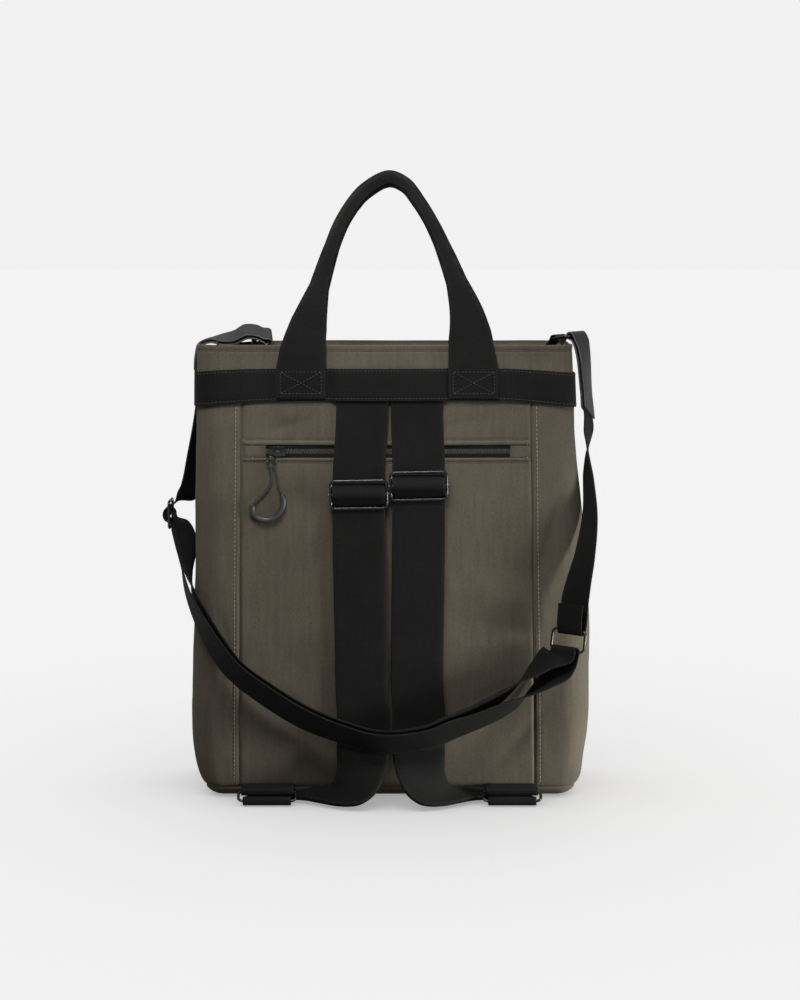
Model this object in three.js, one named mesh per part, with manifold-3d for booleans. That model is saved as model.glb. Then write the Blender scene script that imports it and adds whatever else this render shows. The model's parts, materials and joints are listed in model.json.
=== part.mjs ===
// Convertible backpack: a twill tote body with two carry handles, two backpack straps and a shoulder strap.
// Millimetres, +Z up, the strap side towards -Y, the origin at the centre of the base on the ground.
import * as THREE from "three";
import { mergeVertices } from "three/addons/utils/BufferGeometryUtils.js";
import Module from "manifold-3d";

const wasm = await Module();
wasm.setup();

// Driving dimensions
const wall = 2; // fabric wall
const gap = 0.3; // clearance between pieces that touch
const rimHeight = 417;
const facingFrom = 378; // the facing meets the panels behind the band
const seamHeight = 10; // bottom seam, above the base panel
const band = { thick: 1.8, gap: 0.4 };
const strap = { width: 48, thick: 1.8, ply: 2.25 }; // ply: centre to centre of two layers
const shoulder = { width: 30, gathered: 27, thick: 1.6 }; // gathered: drawn together in the ring
const leatherThick = 1.6;
const wireThick = 2.6;
const pocket = { left: -132, right: 127.8, low: 315.3, high: 327, tapeLeft: -112, tapeRight: 109 };

// Names the columns of a short table once.
const table = (columns, lines) =>
  lines.map((line) => Object.fromEntries(columns.map((name, i) => [name, line[i]])));

// Body sections from the bottom seam to the rim: outer faces, corner radius, and how far faces bow out
const sections = table(
  ["z", "left", "right", "front", "back", "corner", "bow", "sideBow"],
  [
    [10, -171.5, 172.5, 60.5, 59, 18, 0.5, 0],
    [18, -176, 177, 61.5, 60, 20, 1, 0.5],
    [34, -180.5, 179.4, 62.5, 61, 22, 2, 1],
    [62, -182.8, 183.0, 63.5, 62, 24, 3, 1],
    [110, -182, 184.2, 64, 63, 26, 4, 1],
    [170, -180.2, 183.6, 64, 63, 27, 5, 1],
    [230, -179.2, 180.2, 63, 62, 27, 5, 1],
    [285, -178.4, 174.8, 62, 60, 26, 5, 0.8],
    [326, -177.2, 170.2, 60, 58, 24, 4, 0.5],
    [360, -176.5, 168.8, 58, 56, 22, 3, 0.3],
    [396, -176, 167.3, 55.5, 54, 20, 2.5, 0],
    [417, -175.5, 166.5, 54, 52, 20, 2, 0],
  ],
);

// Soft dents and folds in the walls: where they are, how far they reach and how deep they are
const dents = table(
  ["face", "along", "z", "reach", "rise", "depth"],
  [
    ["front", -96, 338, 20, 16, 2.2],
    ["front", 138, 404, 22, 12, 1.2],
    ["front", -158, 210, 14, 60, 2.2],
    ["front", 153, 300, 12, 60, 2.4],
    ["front", 90, 150, 30, 60, 1.6],
    ["front", -100, 130, 30, 60, 1.6],
    ["back", 0, 240, 90, 110, 3],
    ["back", -120, 320, 40, 30, 2],
    ["left", 0, 250, 30, 90, 4],
    ["right", 0, 300, 30, 80, 4],
    ["left", 10, 120, 34, 40, -2],
    ["right", 5, 120, 34, 40, -2],
  ],
);

const vec = (x, y, z) => new THREE.Vector3(x, y, z);
const smoothPath = (points) => new THREE.CatmullRomCurve3(points, false, "centripetal");

// A smooth value of one column at a height, or at a place along a table of rows.
function smoothAt(rows, key, place, column) {
  const last = rows.length - 1;
  if (place <= rows[0][key]) return rows[0][column];
  if (place >= rows[last][key]) return rows[last][column];
  const i = rows.findIndex((row) => row[key] > place) - 1;
  const a = rows[i];
  const b = rows[i + 1];
  const span = b[key] - a[key];
  const slope = (j) => {
    const before = rows[Math.max(j - 1, 0)];
    const after = rows[Math.min(j + 1, last)];
    return ((after[column] - before[column]) / (after[key] - before[key])) * span;
  };
  const t = (place - a[key]) / span;
  const t2 = t * t;
  const t3 = t2 * t;
  return (
    (2 * t3 - 3 * t2 + 1) * a[column] + (t3 - 2 * t2 + t) * slope(i) +
    (3 * t2 - 2 * t3) * b[column] + (t3 - t2) * slope(i + 1)
  );
}

const section = (z) => {
  const columns = ["left", "right", "front", "back", "corner", "bow", "sideBow"];
  return Object.fromEntries(columns.map((name) => [name, smoothAt(sections, "z", z, name)]));
};

// Bows and dents move a point of the plain rounded section: the same shift for both sides of a wall.
function soften(x, y, z, s) {
  const mid = (s.left + s.right) / 2;
  const across = (x - mid) / (s.right - mid);
  const depth = y < 0 ? y / s.front : y / s.back;
  const round = (v) => Math.cos((Math.PI / 2) * THREE.MathUtils.clamp(v, -1, 1)) ** 2;
  let dy = s.bow * round(across) * depth;
  let dx = s.sideBow * round(depth) * across;
  for (const d of dents) {
    const sideways = d.face === "left" || d.face === "right";
    const place = sideways ? y : x;
    const amount = d.depth * Math.exp(-(((place - d.along) / d.reach) ** 2) - ((z - d.z) / d.rise) ** 2);
    const flat = 1 - across ** 8; // fades out towards the corners
    if (d.face === "front" && depth < 0) dy -= amount * depth * flat;
    if (d.face === "back" && depth > 0) dy -= amount * depth * flat;
    if (d.face === "left" && across < 0) dx += amount * across ** 2 * (1 - depth ** 2);
    if (d.face === "right" && across > 0) dx -= amount * across ** 2 * (1 - depth ** 2);
  }
  return vec(x + dx, y + dy, z);
}

// A point of the body section. turn runs 0..8: front, corner, right side, corner, back, corner,
// left side, corner.
function bodyPoint(turn, z, inset = 0) {
  const s = section(z);
  const r = Math.max(s.corner - inset, 1);
  const left = s.left + inset + r;
  const right = s.right - inset - r;
  const front = -s.front + inset + r;
  const back = s.back - inset - r;
  const leg = Math.floor(turn) % 8;
  const f = turn - Math.floor(turn);
  const arc = (x, y, from) => {
    const a = from + (f * Math.PI) / 2;
    return [x + r * Math.cos(a), y + r * Math.sin(a)];
  };
  const along = (a, b) => a + (b - a) * f;
  const [x, y] = [
    () => [along(left, right), front - r],
    () => arc(right, front, -Math.PI / 2),
    () => [right + r, along(front, back)],
    () => arc(right, back, 0),
    () => [along(right, left), back + r],
    () => arc(left, back, Math.PI / 2),
    () => [left - r, along(back, front)],
    () => arc(left, front, Math.PI),
  ][leg]();
  return soften(x, y, z, s);
}

// The turn of the front or back face at a given x.
function turnAt(x, z, back = false) {
  const s = section(z);
  const f = (x - s.left - s.corner) / (s.right - s.left - 2 * s.corner);
  return back ? 5 - f : f;
}

// A point that stands proud of the front face, or of the back face.
const onFront = (x, z, proud = 0) => bodyPoint(turnAt(x, z), z).add(vec(0, -proud, 0));
const onBack = (x, z, proud = 0) => bodyPoint(turnAt(x, z, true), z).add(vec(0, proud, 0));

// Closed solid between two matching grids of points. outer faces away from the material,
// and inner faces the hollow.
function sheet(outer, inner, ring = false) {
  const rows = outer.length;
  const cols = outer[0].length;
  const points = [...outer.flat(), ...inner.flat()];
  const at = (side, i, j) => side * rows * cols + i * cols + (j % cols);
  const faces = [];
  const quad = (a, b, c, d) => faces.push(a, b, c, a, c, d);
  const lastCol = ring ? cols : cols - 1;
  for (let i = 0; i < rows - 1; i++)
    for (let j = 0; j < lastCol; j++) {
      quad(at(0, i, j), at(0, i, j + 1), at(0, i + 1, j + 1), at(0, i + 1, j));
      quad(at(1, i, j), at(1, i + 1, j), at(1, i + 1, j + 1), at(1, i, j + 1));
    }
  for (let j = 0; j < lastCol; j++) {
    quad(at(0, 0, j), at(1, 0, j), at(1, 0, j + 1), at(0, 0, j + 1));
    const top = rows - 1;
    quad(at(0, top, j), at(0, top, j + 1), at(1, top, j + 1), at(1, top, j));
  }
  if (!ring)
    for (let i = 0; i < rows - 1; i++) {
      const end = cols - 1;
      quad(at(0, i, 0), at(0, i + 1, 0), at(1, i + 1, 0), at(1, i, 0));
      quad(at(0, i, end), at(1, i, end), at(1, i + 1, end), at(0, i + 1, end));
    }
  return meshOf(points, faces);
}

function meshOf(points, faces) {
  const geometry = new THREE.BufferGeometry().setFromPoints(points).setIndex(faces);
  geometry.computeVertexNormals();
  return geometry;
}

// Strip of webbing or leather through stations: at (centre), across (its width direction), width, thick.
// Every station is a section, and longer spans get more between them. Where the strip twists, each quad folds
// along the diagonal on one fixed side, so its two faces and its neighbouring ply fold alike.
const diagonalSide = vec(0.3, 1, 0.2);
const mostTwist = THREE.MathUtils.degToRad(9); // between two sections
function ribbon(stations, spacing) {
  const path = smoothPath(stations.map((s) => s.at));
  const spans = stations.length - 1;
  const points = [];
  const addSection = (span, f) => {
    const a = stations[span];
    const b = stations[span + 1];
    const t = (span + f) / spans;
    const across = a.across.clone().lerp(b.across, f).normalize();
    const out = path.getTangent(t).cross(across).normalize();
    const w = THREE.MathUtils.lerp(a.width, b.width, f) / 2;
    const h = THREE.MathUtils.lerp(a.thick, b.thick, f) / 2;
    const centre = path.getPoint(t);
    for (const [i, j] of [[1, 1], [-1, 1], [-1, -1], [1, -1]])
      points.push(centre.clone().addScaledVector(across, i * w).addScaledVector(out, j * h));
  };
  for (let span = 0; span < spans; span++) {
    const reach = stations[span].at.distanceTo(stations[span + 1].at) / spacing;
    const twist = stations[span].across.angleTo(stations[span + 1].across) / mostTwist;
    const cuts = Math.max(1, Math.round(reach), Math.ceil(twist));
    for (let i = 0; i < cuts; i++) addSection(span, i / cuts);
  }
  addSection(spans - 1, 1);
  const faces = [];
  const end = points.length - 4;
  const depthOf = (i, j) => points[i].clone().add(points[j]).dot(diagonalSide);
  for (let a = 0; a < end; a += 4)
    for (let k = 0; k < 4; k++) {
      const next = (k + 1) % 4;
      const [p, q, r, s] = [a + k, a + next, a + next + 4, a + k + 4];
      if (depthOf(p, r) < depthOf(q, s)) faces.push(p, q, r, p, r, s);
      else faces.push(p, q, s, q, r, s);
    }
  faces.push(0, 3, 2, 0, 2, 1, end, end + 1, end + 2, end, end + 2, end + 3);
  return meshOf(points, faces);
}

const station = (at, across, width, thick) => ({ at, across: across.clone().normalize(), width, thick });

// Moves stations along their own outward direction: one ply of a doubled strap.
function shifted(stations, amount) {
  const path = smoothPath(stations.map((s) => s.at));
  return stations.map((s, i) => {
    const out = path.getTangent(i / (stations.length - 1)).cross(s.across).normalize();
    return { ...s, at: s.at.clone().addScaledVector(out, amount) };
  });
}

// Half a turn round a bar. away points from the strap's body past the bar, and along is the bar's direction.
// The strip comes in on one side of the bar and leaves on the other: flip swaps the sides.
function halfTurn(bar, along, away, radius, width, thick, flip = 1) {
  const ahead = away.clone().addScaledVector(along, -away.dot(along) / along.lengthSq()).normalize();
  const out = ahead.clone().cross(along).normalize().multiplyScalar(flip);
  return [-90, -45, 0, 45, 90].map((degrees) => {
    const a = THREE.MathUtils.degToRad(degrees);
    const at = bar.clone().addScaledVector(ahead, radius * Math.cos(a));
    return station(at.addScaledVector(out, -radius * Math.sin(a)), along, width, thick);
  });
}
const turnGap = 0.45; // strap to wire, where the strap's facets cut the curve short
const turnRadius = (thick) => wireThick * Math.SQRT1_2 + turnGap + thick / 2; // clears the wire's corners

// Closed solid with merged vertices, for cutting and joining.
function solid(geometry) {
  const bare = geometry.clone();
  bare.deleteAttribute("normal");
  bare.deleteAttribute("uv");
  const merged = mergeVertices(bare, 1e-3);
  const vertProperties = merged.attributes.position.array;
  const triVerts = new Uint32Array(merged.index.array);
  return new wasm.Manifold(new wasm.Mesh({ numProp: 3, vertProperties, triVerts }));
}

function fromSolid(body) {
  const mesh = body.getMesh();
  const geometry = new THREE.BufferGeometry();
  geometry.setAttribute("position", new THREE.BufferAttribute(new Float32Array(mesh.vertProperties), 3));
  geometry.setIndex(new THREE.BufferAttribute(new Uint32Array(mesh.triVerts), 1));
  geometry.computeVertexNormals();
  return geometry;
}

// Materials
const paint = (color, roughness, metalness = 0) =>
  new THREE.MeshStandardMaterial({ color, roughness, metalness });
const twill = () => paint(0x5a5347, 0.9);
const webbing = () => paint(0x1f1f20, 0.85);
const leather = () => paint(0x1c1c1d, 0.55);
const gunmetal = () => paint(0x2a2b2d, 0.35, 0.9);
const zipPlastic = () => paint(0x17181a, 0.5);
const cordYarn = () => paint(0x1a1a1b, 0.8);
const gripRubber = () => paint(0x26282b, 0.6);

const bag = new THREE.Group();
function piece(name, geometry, material) {
  const mesh = new THREE.Mesh(geometry, material);
  mesh.name = name;
  bag.add(mesh);
  return mesh;
}

// Body: the sections are cut into panels at the seams
const seams = { height: 360, left: -134, leftFlare: 4.5, right: 128, rightFlare: 6 };
const flare = (z) => 1 - z / seams.height;
const seamLeft = (z) => seams.left - seams.leftFlare * flare(z);
const seamRight = (z) => seams.right + seams.rightFlare * flare(z);
const seamBack = 132;
const seamHalfGap = gap / 2;
const panelHeights = [10.15, 18, 34, 62, 105, 160, 215, 270, 326, 352, 377.7];

function steps(from, to, count) {
  return Array.from({ length: count + 1 }, (_, i) => from + ((to - from) * i) / count);
}

// Panel between two turns that may change with height, through fixed turns at the corners.
function panel(heights, turnsAt) {
  const grid = (inset) => heights.map((z) => turnsAt(z).map((turn) => bodyPoint(turn, z, inset)));
  return sheet(grid(0), grid(wall));
}

// Columns of a closed ring: so many to each flat or corner, in turn order.
const frontColumns = 10;
const ringColumns = [frontColumns, 4, 5, 4, 8, 4, 5, 4];
const ringTurns = ringColumns.flatMap((count, leg) => steps(leg, leg + 1, count).slice(0, -1));

// The mouth dips where the shoulder strap crosses it at the left rear corner.
const mouthDip = { x: -175, y: 42, reach: 32, depth: 6 };
function rimPoint(turn, z, inset) {
  const p = bodyPoint(turn, z, inset);
  const rise = (z - facingFrom) / (rimHeight - facingFrom);
  const away = Math.hypot(p.x - mouthDip.x, p.y - mouthDip.y) / mouthDip.reach;
  p.z -= mouthDip.depth * rise * Math.exp(-(away ** 2));
  return p;
}

function makeRimFacing() {
  const heights = [facingFrom, 396, 408, rimHeight];
  const grid = (inset) => heights.map((z) => ringTurns.map((turn) => rimPoint(turn, z, inset)));
  piece("rim_facing", sheet(grid(0), grid(wall), true), twill());
}

function makePanels() {
  const frontTurns = (z) => {
    const from = turnAt(seamLeft(z) + seamHalfGap, z);
    const to = turnAt(seamRight(z) - seamHalfGap, z);
    return steps(from, to, 12);
  };
  const slot = new THREE.BoxGeometry(pocket.right - pocket.left, 40, pocket.high - pocket.low);
  const mid = (pocket.left + pocket.right) / 2;
  slot.translate(mid, -section(pocket.low).front, (pocket.high + pocket.low) / 2);
  const front = solid(panel(panelHeights, frontTurns)).subtract(solid(slot));
  piece("front_panel", fromSolid(front), twill());

  const rightTurns = (z) => [
    ...steps(turnAt(seamRight(z) + seamHalfGap, z), 1, 2), 1.25, 1.5, 1.75,
    ...steps(2, 3, 4), 3.25, 3.5, 3.75,
    ...steps(4, turnAt(seamBack + seamHalfGap, z, true), 2),
  ];
  piece("side_panel_right", panel(panelHeights, rightTurns), twill());

  const leftTurns = (z) => [
    ...steps(turnAt(-seamBack - seamHalfGap, z, true), 5, 2), 5.25, 5.5, 5.75,
    ...steps(6, 7, 4), 7.25, 7.5, 7.75,
    ...steps(8, 8 + turnAt(seamLeft(z) - seamHalfGap, z), 2),
  ];
  piece("side_panel_left", panel(panelHeights, leftTurns), twill());

  const backTurns = (z) => {
    const from = turnAt(seamBack - seamHalfGap, z, true);
    const to = turnAt(-seamBack + seamHalfGap, z, true);
    return steps(from, to, 10);
  };
  piece("back_panel", panel(panelHeights, backTurns), twill());
}

// The base is a shallow tray: rings that turn in from the seam to the flat it stands on.
const baseRings = table(["z", "inset"], [[seamHeight - 0.15, 0], [5.5, 3], [1.8, 9], [0, 18]]);
function makeBase() {
  const ringAt = ({ z, inset }, lift, extra) =>
    ringTurns.map((turn) => {
      const p = bodyPoint(turn, seamHeight, inset + extra);
      p.z = z + lift;
      return p;
    });
  const outer = baseRings.map((row) => ringAt(row, 0, 0)).reverse();
  const inner = baseRings.map((row, i) => ringAt(row, i === 0 ? 0 : wall, wall)).reverse();
  const cols = ringTurns.length;
  const rows = outer.length;
  const geometry = sheet(outer, inner, true);
  const index = [...geometry.index.array];
  // the lowest ring is closed by two flat faces instead of an edge
  const edge = 6 * 2 * (rows - 1) * cols;
  const kept = index.filter((_, i) => i < edge || ((i - edge) / 6 | 0) % 2 === 1);
  const points = [...outer.flat(), ...inner.flat(), vec(0, 0, 0), vec(0, 0, wall)];
  const floor = points.length - 2;
  const deck = points.length - 1;
  for (let j = 0; j < cols; j++) {
    const next = (j + 1) % cols;
    kept.push(floor, next, j, deck, rows * cols + j, rows * cols + next);
  }
  piece("base_panel", meshOf(points, kept), twill());
}

// The webbing band lies on the body and passes over the two strap tops.
const bandEdge = table(
  ["x", "top", "low"],
  [
    [-180, 392, 360.5],
    [-150, 394.5, 363.5],
    [-100, 395.8, 366.3],
    [0, 395.8, 366.8],
    [100, 395.8, 366.8],
    [145, 393.5, 363],
    [175, 390.5, 359],
  ],
);
const bandLift = { from: 49.4, to: 52.4, over: 2.5 };
function makeBand() {
  const { from, to } = bandLift;
  const stops = [...steps(-151, -to, 7), -from, ...steps(-30, 30, 3), from, ...steps(to, 141, 7)];
  const turns = [0, ...stops.map((x) => turnAt(x, facingFrom)), ...ringTurns.slice(frontColumns)];
  const grid = (proud) =>
    [0, 0.5, 1].map((rise) =>
      turns.map((turn) => {
        const x = bodyPoint(turn, facingFrom).x;
        const low = smoothAt(bandEdge, "x", x, "low");
        const top = smoothAt(bandEdge, "x", x, "top");
        const lifted = turn < 1 ? 1 - THREE.MathUtils.smoothstep(Math.abs(x), from, to) : 0;
        return bodyPoint(turn, low + (top - low) * rise, -(band.gap + proud + bandLift.over * lifted));
      }),
    );
  piece("top_band", sheet(grid(band.thick), grid(0), true), webbing());
}

// Thin piece that follows the front face between two x and two z, from one depth to another.
function facePatch(name, x0, x1, z0, z1, proudLow, proudHigh, count, material) {
  const grid = (proud) => [z0, z1].map((z) => steps(x0, x1, count).map((x) => onFront(x, z, proud)));
  piece(name, sheet(grid(proudHigh), grid(proudLow)), material);
}

// Depths of the zip's layers behind the face, and half the height of its row of teeth
const zip = { back: -1.8, tab: -0.2, tape: -0.9, teeth: -0.1, teethHalf: 1.9, columns: 12 };
const zipMid = (pocket.low + pocket.high) / 2;
const zipSlider = {
  x: -101,
  proud: 0.8,
  thick: 1.8,
  outline: [[-7.5, -3.6], [-2, -4.6], [6.5, -4.2], [7.5, -2]], // lower half, the upper half mirrors it
  bridge: [7, 2.6, 2.2],
  bridgeRise: 1,
};
const zipRing = { x: -107, z: zipMid - 8.6, proud: 3.2, radius: 3.9, wire: 0.9 };

function makePocketZip() {
  const { left, right, low, high, tapeLeft, tapeRight } = pocket;
  const { back, tab, tape, teeth, teethHalf, columns } = zip;
  const endTab = (name, from, to) => facePatch(name, from, to, low + gap, high - gap, back, tab, 2, twill());
  endTab("zip_end_tab_left", left + gap, tapeLeft - gap);
  endTab("zip_end_tab_right", tapeRight + gap, right - gap);
  const strip = (name, z0, z1, depth, material) =>
    facePatch(name, tapeLeft, tapeRight, z0, z1, back, depth, columns, material);
  strip("zip_tape_lower", low + gap, zipMid - teethHalf - gap, tape, webbing());
  strip("zip_tape_upper", zipMid + teethHalf + gap, high - gap, tape, webbing());
  strip("zip_teeth", zipMid - teethHalf, zipMid + teethHalf, teeth, zipPlastic());

  // slider body: a waisted plate over the teeth with a bridge for the ring
  const outline = new THREE.Shape();
  outline.moveTo(...zipSlider.outline[0]);
  for (const [x, y] of zipSlider.outline) outline.lineTo(x, y);
  for (const [x, y] of zipSlider.outline.toReversed()) outline.lineTo(x, -y);
  const plate = new THREE.ExtrudeGeometry(outline, { depth: zipSlider.thick, bevelEnabled: false });
  const bridge = new THREE.BoxGeometry(...zipSlider.bridge);
  bridge.translate(0, 0, zipSlider.thick + zipSlider.bridgeRise);
  const slider = piece("zip_slider", fromSolid(solid(plate).add(solid(bridge))), gunmetal());
  slider.rotation.x = Math.PI / 2;
  slider.position.copy(onFront(zipSlider.x, zipMid, zipSlider.proud));

  // the pull ring lies against the slider's lower edge
  const ring = piece("zip_ring", new THREE.TorusGeometry(zipRing.radius, zipRing.wire, 6, 12), gunmetal());
  ring.rotation.x = Math.PI / 2;
  ring.position.copy(onFront(zipRing.x, zipRing.z, zipRing.proud));
}

// The pull is one cord whose two ends are knotted at the ring, with a bent tube on it as the grip.
const pullRoute = table(
  ["x", "z", "proud"],
  [
    [-107.6, 307.2, 3.4],
    [-107.4, 303, 2.4],
    [-107.2, 296, 1.7],
    [-109.6, 288, 1.7],
    [-115.5, 281.5, 2.1],
    [-121, 276.6, 2.5],
    [-124.2, 270.8, 2.7],
    [-123.6, 265.6, 2.8],
    [-119.4, 261.2, 2.8],
    [-111.8, 259, 2.8],
    [-104.4, 261, 2.8],
    [-98.8, 266.8, 2.7],
    [-96.2, 273.4, 2.6],
    [-96.4, 279, 2.4],
    [-98.4, 284, 2],
    [-100.4, 290, 1.7],
    [-101.6, 297, 1.7],
    [-102.8, 303, 2.4],
    [-104, 307.6, 3.4],
  ],
);
const cordRadius = 1.1;
const grip = { radius: 2.3, bore: 1.45, from: 0.335, to: 0.7 }; // from and to: shares of the cord's length
function makePull() {
  const round = (radius, sides) => {
    const shape = new THREE.Shape();
    for (let i = 0; i < sides; i++) {
      const a = (2 * Math.PI * i) / sides;
      const p = [radius * Math.cos(a), radius * Math.sin(a)];
      if (i === 0) shape.moveTo(...p);
      else shape.lineTo(...p);
    }
    shape.closePath();
    return shape;
  };
  const alongPath = (shape, extrudePath, count) =>
    new THREE.ExtrudeGeometry(shape, { steps: count, bevelEnabled: false, extrudePath });
  const path = smoothPath(pullRoute.map((p) => onFront(p.x, p.z, p.proud)));
  piece("pull_cord", alongPath(round(cordRadius, 8), path, 30), cordYarn());
  const middle = smoothPath(steps(grip.from, grip.to, 10).map((t) => path.getPointAt(t)));
  const tube = round(grip.radius, 8);
  tube.holes.push(round(grip.bore, 8));
  piece("pull_grip", alongPath(tube, middle, 11), gripRubber());
}

// Carry handles: flat where sewn on, folded double along the grip
const handleSewn = { to: 396, over: 1.2 }; // over: how far the turned-in ends stand off the band
const handleRows = table(
  ["x", "z", "lean", "width", "thick"],
  [
    [-80, 369.5, 0, 45, 1.8],
    [-79.8, 396, 0, 45, 1.8],
    [-77.5, 414, 1.2, 41, 2],
    [-73, 434, 4.5, 34, 3],
    [-63.5, 468, 12, 18.5, 6],
    [-51.5, 506, 23, 14, 7.5],
    [-43, 527, 30, 14, 8],
    [-32.5, 544, 36, 14.5, 8],
    [-21, 556.5, 41, 15, 8],
    [-0.5, 567.2, 46, 15, 8],
    [14.5, 561, 44, 14, 8],
    [25.5, 547, 38, 13, 8],
    [36.5, 529, 31, 12.5, 8],
    [46.5, 508, 24, 13.5, 7.5],
    [60, 473.4, 13, 18.5, 6],
    [69, 445, 6.5, 30, 3.4],
    [72.5, 424, 3, 39, 2.2],
    [74.8, 404, 0.6, 43.5, 1.8],
    [75.6, 396, 0, 45, 1.8],
    [76, 369.5, 0, 45, 1.8],
  ],
);
function makeHandle(name, side, spread) {
  const proud = band.gap + band.thick + gap + handleSewn.over;
  const face = vec(0, side, 0);
  const onFace = side < 0 ? onFront : onBack;
  const points = handleRows.map((row) => {
    const x = row.x * spread;
    return vec(x, onFace(x, Math.min(row.z, handleSewn.to), proud).y - side * row.lean, row.z);
  });
  const path = smoothPath(points);
  const stations = handleRows.map((row, i) => {
    const across = face.clone().cross(path.getTangent(i / (points.length - 1)));
    if (row.z <= handleSewn.to) {
      const half = row.width / 2;
      const chord = onFace(points[i].x + half, row.z).sub(onFace(points[i].x - half, row.z));
      const sense = Math.sign(chord.dot(across));
      across.copy(chord).multiplyScalar(sense);
    }
    return station(points[i], across, row.width, row.thick);
  });
  piece(name, ribbon(stations, 12), webbing());
}

// Flat wire frame in its own XY plane: windows are the openings between its bars.
function wireFrame(long, short, windows, thick) {
  const corner = 3.2;
  const roundedBox = (shape, x, y, w, h, r) => {
    shape.moveTo(x + r, y);
    shape.lineTo(x + w - r, y).absarc(x + w - r, y + r, r, -Math.PI / 2, 0, false);
    shape.lineTo(x + w, y + h - r).absarc(x + w - r, y + h - r, r, 0, Math.PI / 2, false);
    shape.lineTo(x + r, y + h).absarc(x + r, y + h - r, r, Math.PI / 2, Math.PI, false);
    shape.lineTo(x, y + r).absarc(x + r, y + r, r, Math.PI, 1.5 * Math.PI, false);
    return shape;
  };
  const shape = roundedBox(new THREE.Shape(), -long / 2, -short / 2, long, short, corner);
  const inner = short - thick;
  for (let i = 0; i < windows; i++) {
    const from = -short / 2 + thick + (i * inner) / windows;
    const high = inner / windows - thick;
    const window = roundedBox(new THREE.Path(), -long / 2 + thick, from, long - 2 * thick, high, corner / 2);
    shape.holes.push(window);
  }
  const geometry = new THREE.ExtrudeGeometry(shape, { depth: thick, curveSegments: 2, bevelEnabled: false });
  return geometry.translate(0, 0, -thick / 2);
}

// Puts a frame with its long bars along one direction and its short side along another.
function placeFrame(name, geometry, centre, long, short) {
  const x = long.clone().normalize();
  const z = x.clone().cross(short).normalize();
  const mesh = piece(name, geometry, gunmetal());
  mesh.quaternion.setFromRotationMatrix(new THREE.Matrix4().makeBasis(x, z.clone().cross(x), z));
  mesh.position.copy(centre);
  return mesh;
}

// Backpack straps. Each is one strip: from the band, over the slider's bar, down, round the anchor ring
// and back up.
const strapSides = [
  { name: "left", sign: -1, top: -24.5, sliderX: -27.7, low: -26.6, foot: -24, sliderZ: 283, tilt: 0.018 },
  { name: "right", sign: 1, top: 24.8, sliderX: 26.5, low: 26, foot: 26.5, sliderZ: 290.8, tilt: 0.02 },
];
const sliderProud = 6.8; // centre of the slider's wire in front of the face
const lay = strap.thick / 2 + 0.6; // centre of a strap that lies on the face
const outerLay = lay + strap.ply;

// Where the left strap rolls off the face and runs out to its ring. a is the direction of its width.
const rollRows = table(
  ["x", "y", "z", "ax", "ay", "az", "width"],
  [
    [-24, -71.0, 84, 1, 0, 0, 48],
    [-24, -73.4, 62, 1, -0.02, 0, 48],
    [-24.4, -79.5, 45, 0.98, -0.12, -0.04, 48],
    [-26.5, -88, 31, 0.9, -0.36, -0.14, 46],
    [-31.5, -93.8, 19.5, 0.78, -0.56, -0.22, 44],
    [-40, -94.5, 12.2, 0.58, -0.74, -0.26, 42],
    [-52, -88.5, 9.4, 0.3, -0.9, -0.28, 35],
    [-67, -79.5, 7.8, 0.12, -0.95, -0.2, 28],
    [-82, -73.6, 5.4, 0.35, -0.92, -0.02, 22],
    [-96, -72, 4.6, 0.78, -0.63, 0, 24],
    [-108, -75.6, 4.6, 0.98, -0.18, 0, 36],
    [-111.5, -81, 4.7, 1, 0, 0, 43],
    [-111.5, -86, 4.6, 1, 0, 0, 44],
  ],
);
const anchor = {
  x: 111.5,
  barY: -90,
  barZ: 4.7,
  topY: -81.3,
  topZ: 11.6,
  long: 55,
  strapWidth: 44,
  shift: 2.5,
};
// play: strap to window, both sides together
const sliderFrame = { long: 53.2, short: 27.5, pin: 1, pinLong: 55.2, play: 2.6 };
const besideSlider = 10; // the strap is straight this far above and below the slider's centre
const rollFrom = 90; // height where the strap starts to roll off the face
const shiftOver = 40; // sideways run over which the strap moves to its own anchor

// Heights at which a strap lies on the face, and its way past the slider: rise above the slider's centre
// and distance in front of the face
const strapTops = [385, 350];
const faceHeights = [240, 190, 140, 108];
const overSlider = table(
  ["rise", "proud"],
  [
    [30, lay],
    [16, lay + 0.2],
    [10, lay + 1],
    [6.2, sliderProud + 0.8],
    [2.6, sliderProud + 5.2],
    [-2.6, sliderProud + 5.2],
    [-6.2, sliderProud + 0.9],
    [-10.2, outerLay + 0.3],
    [-16, outerLay],
  ],
);
const roundBar = table(
  ["rise", "proud"],
  [
    [-16, lay],
    [-9, lay],
    [-4.5, lay + 0.9],
    [-1.4, sliderProud - 3.1],
    [2.3, sliderProud - 2.6],
    [3.4, sliderProud],
    [2.3, sliderProud + 2.6],
    [-1, sliderProud + 3.1],
  ],
);

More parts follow.
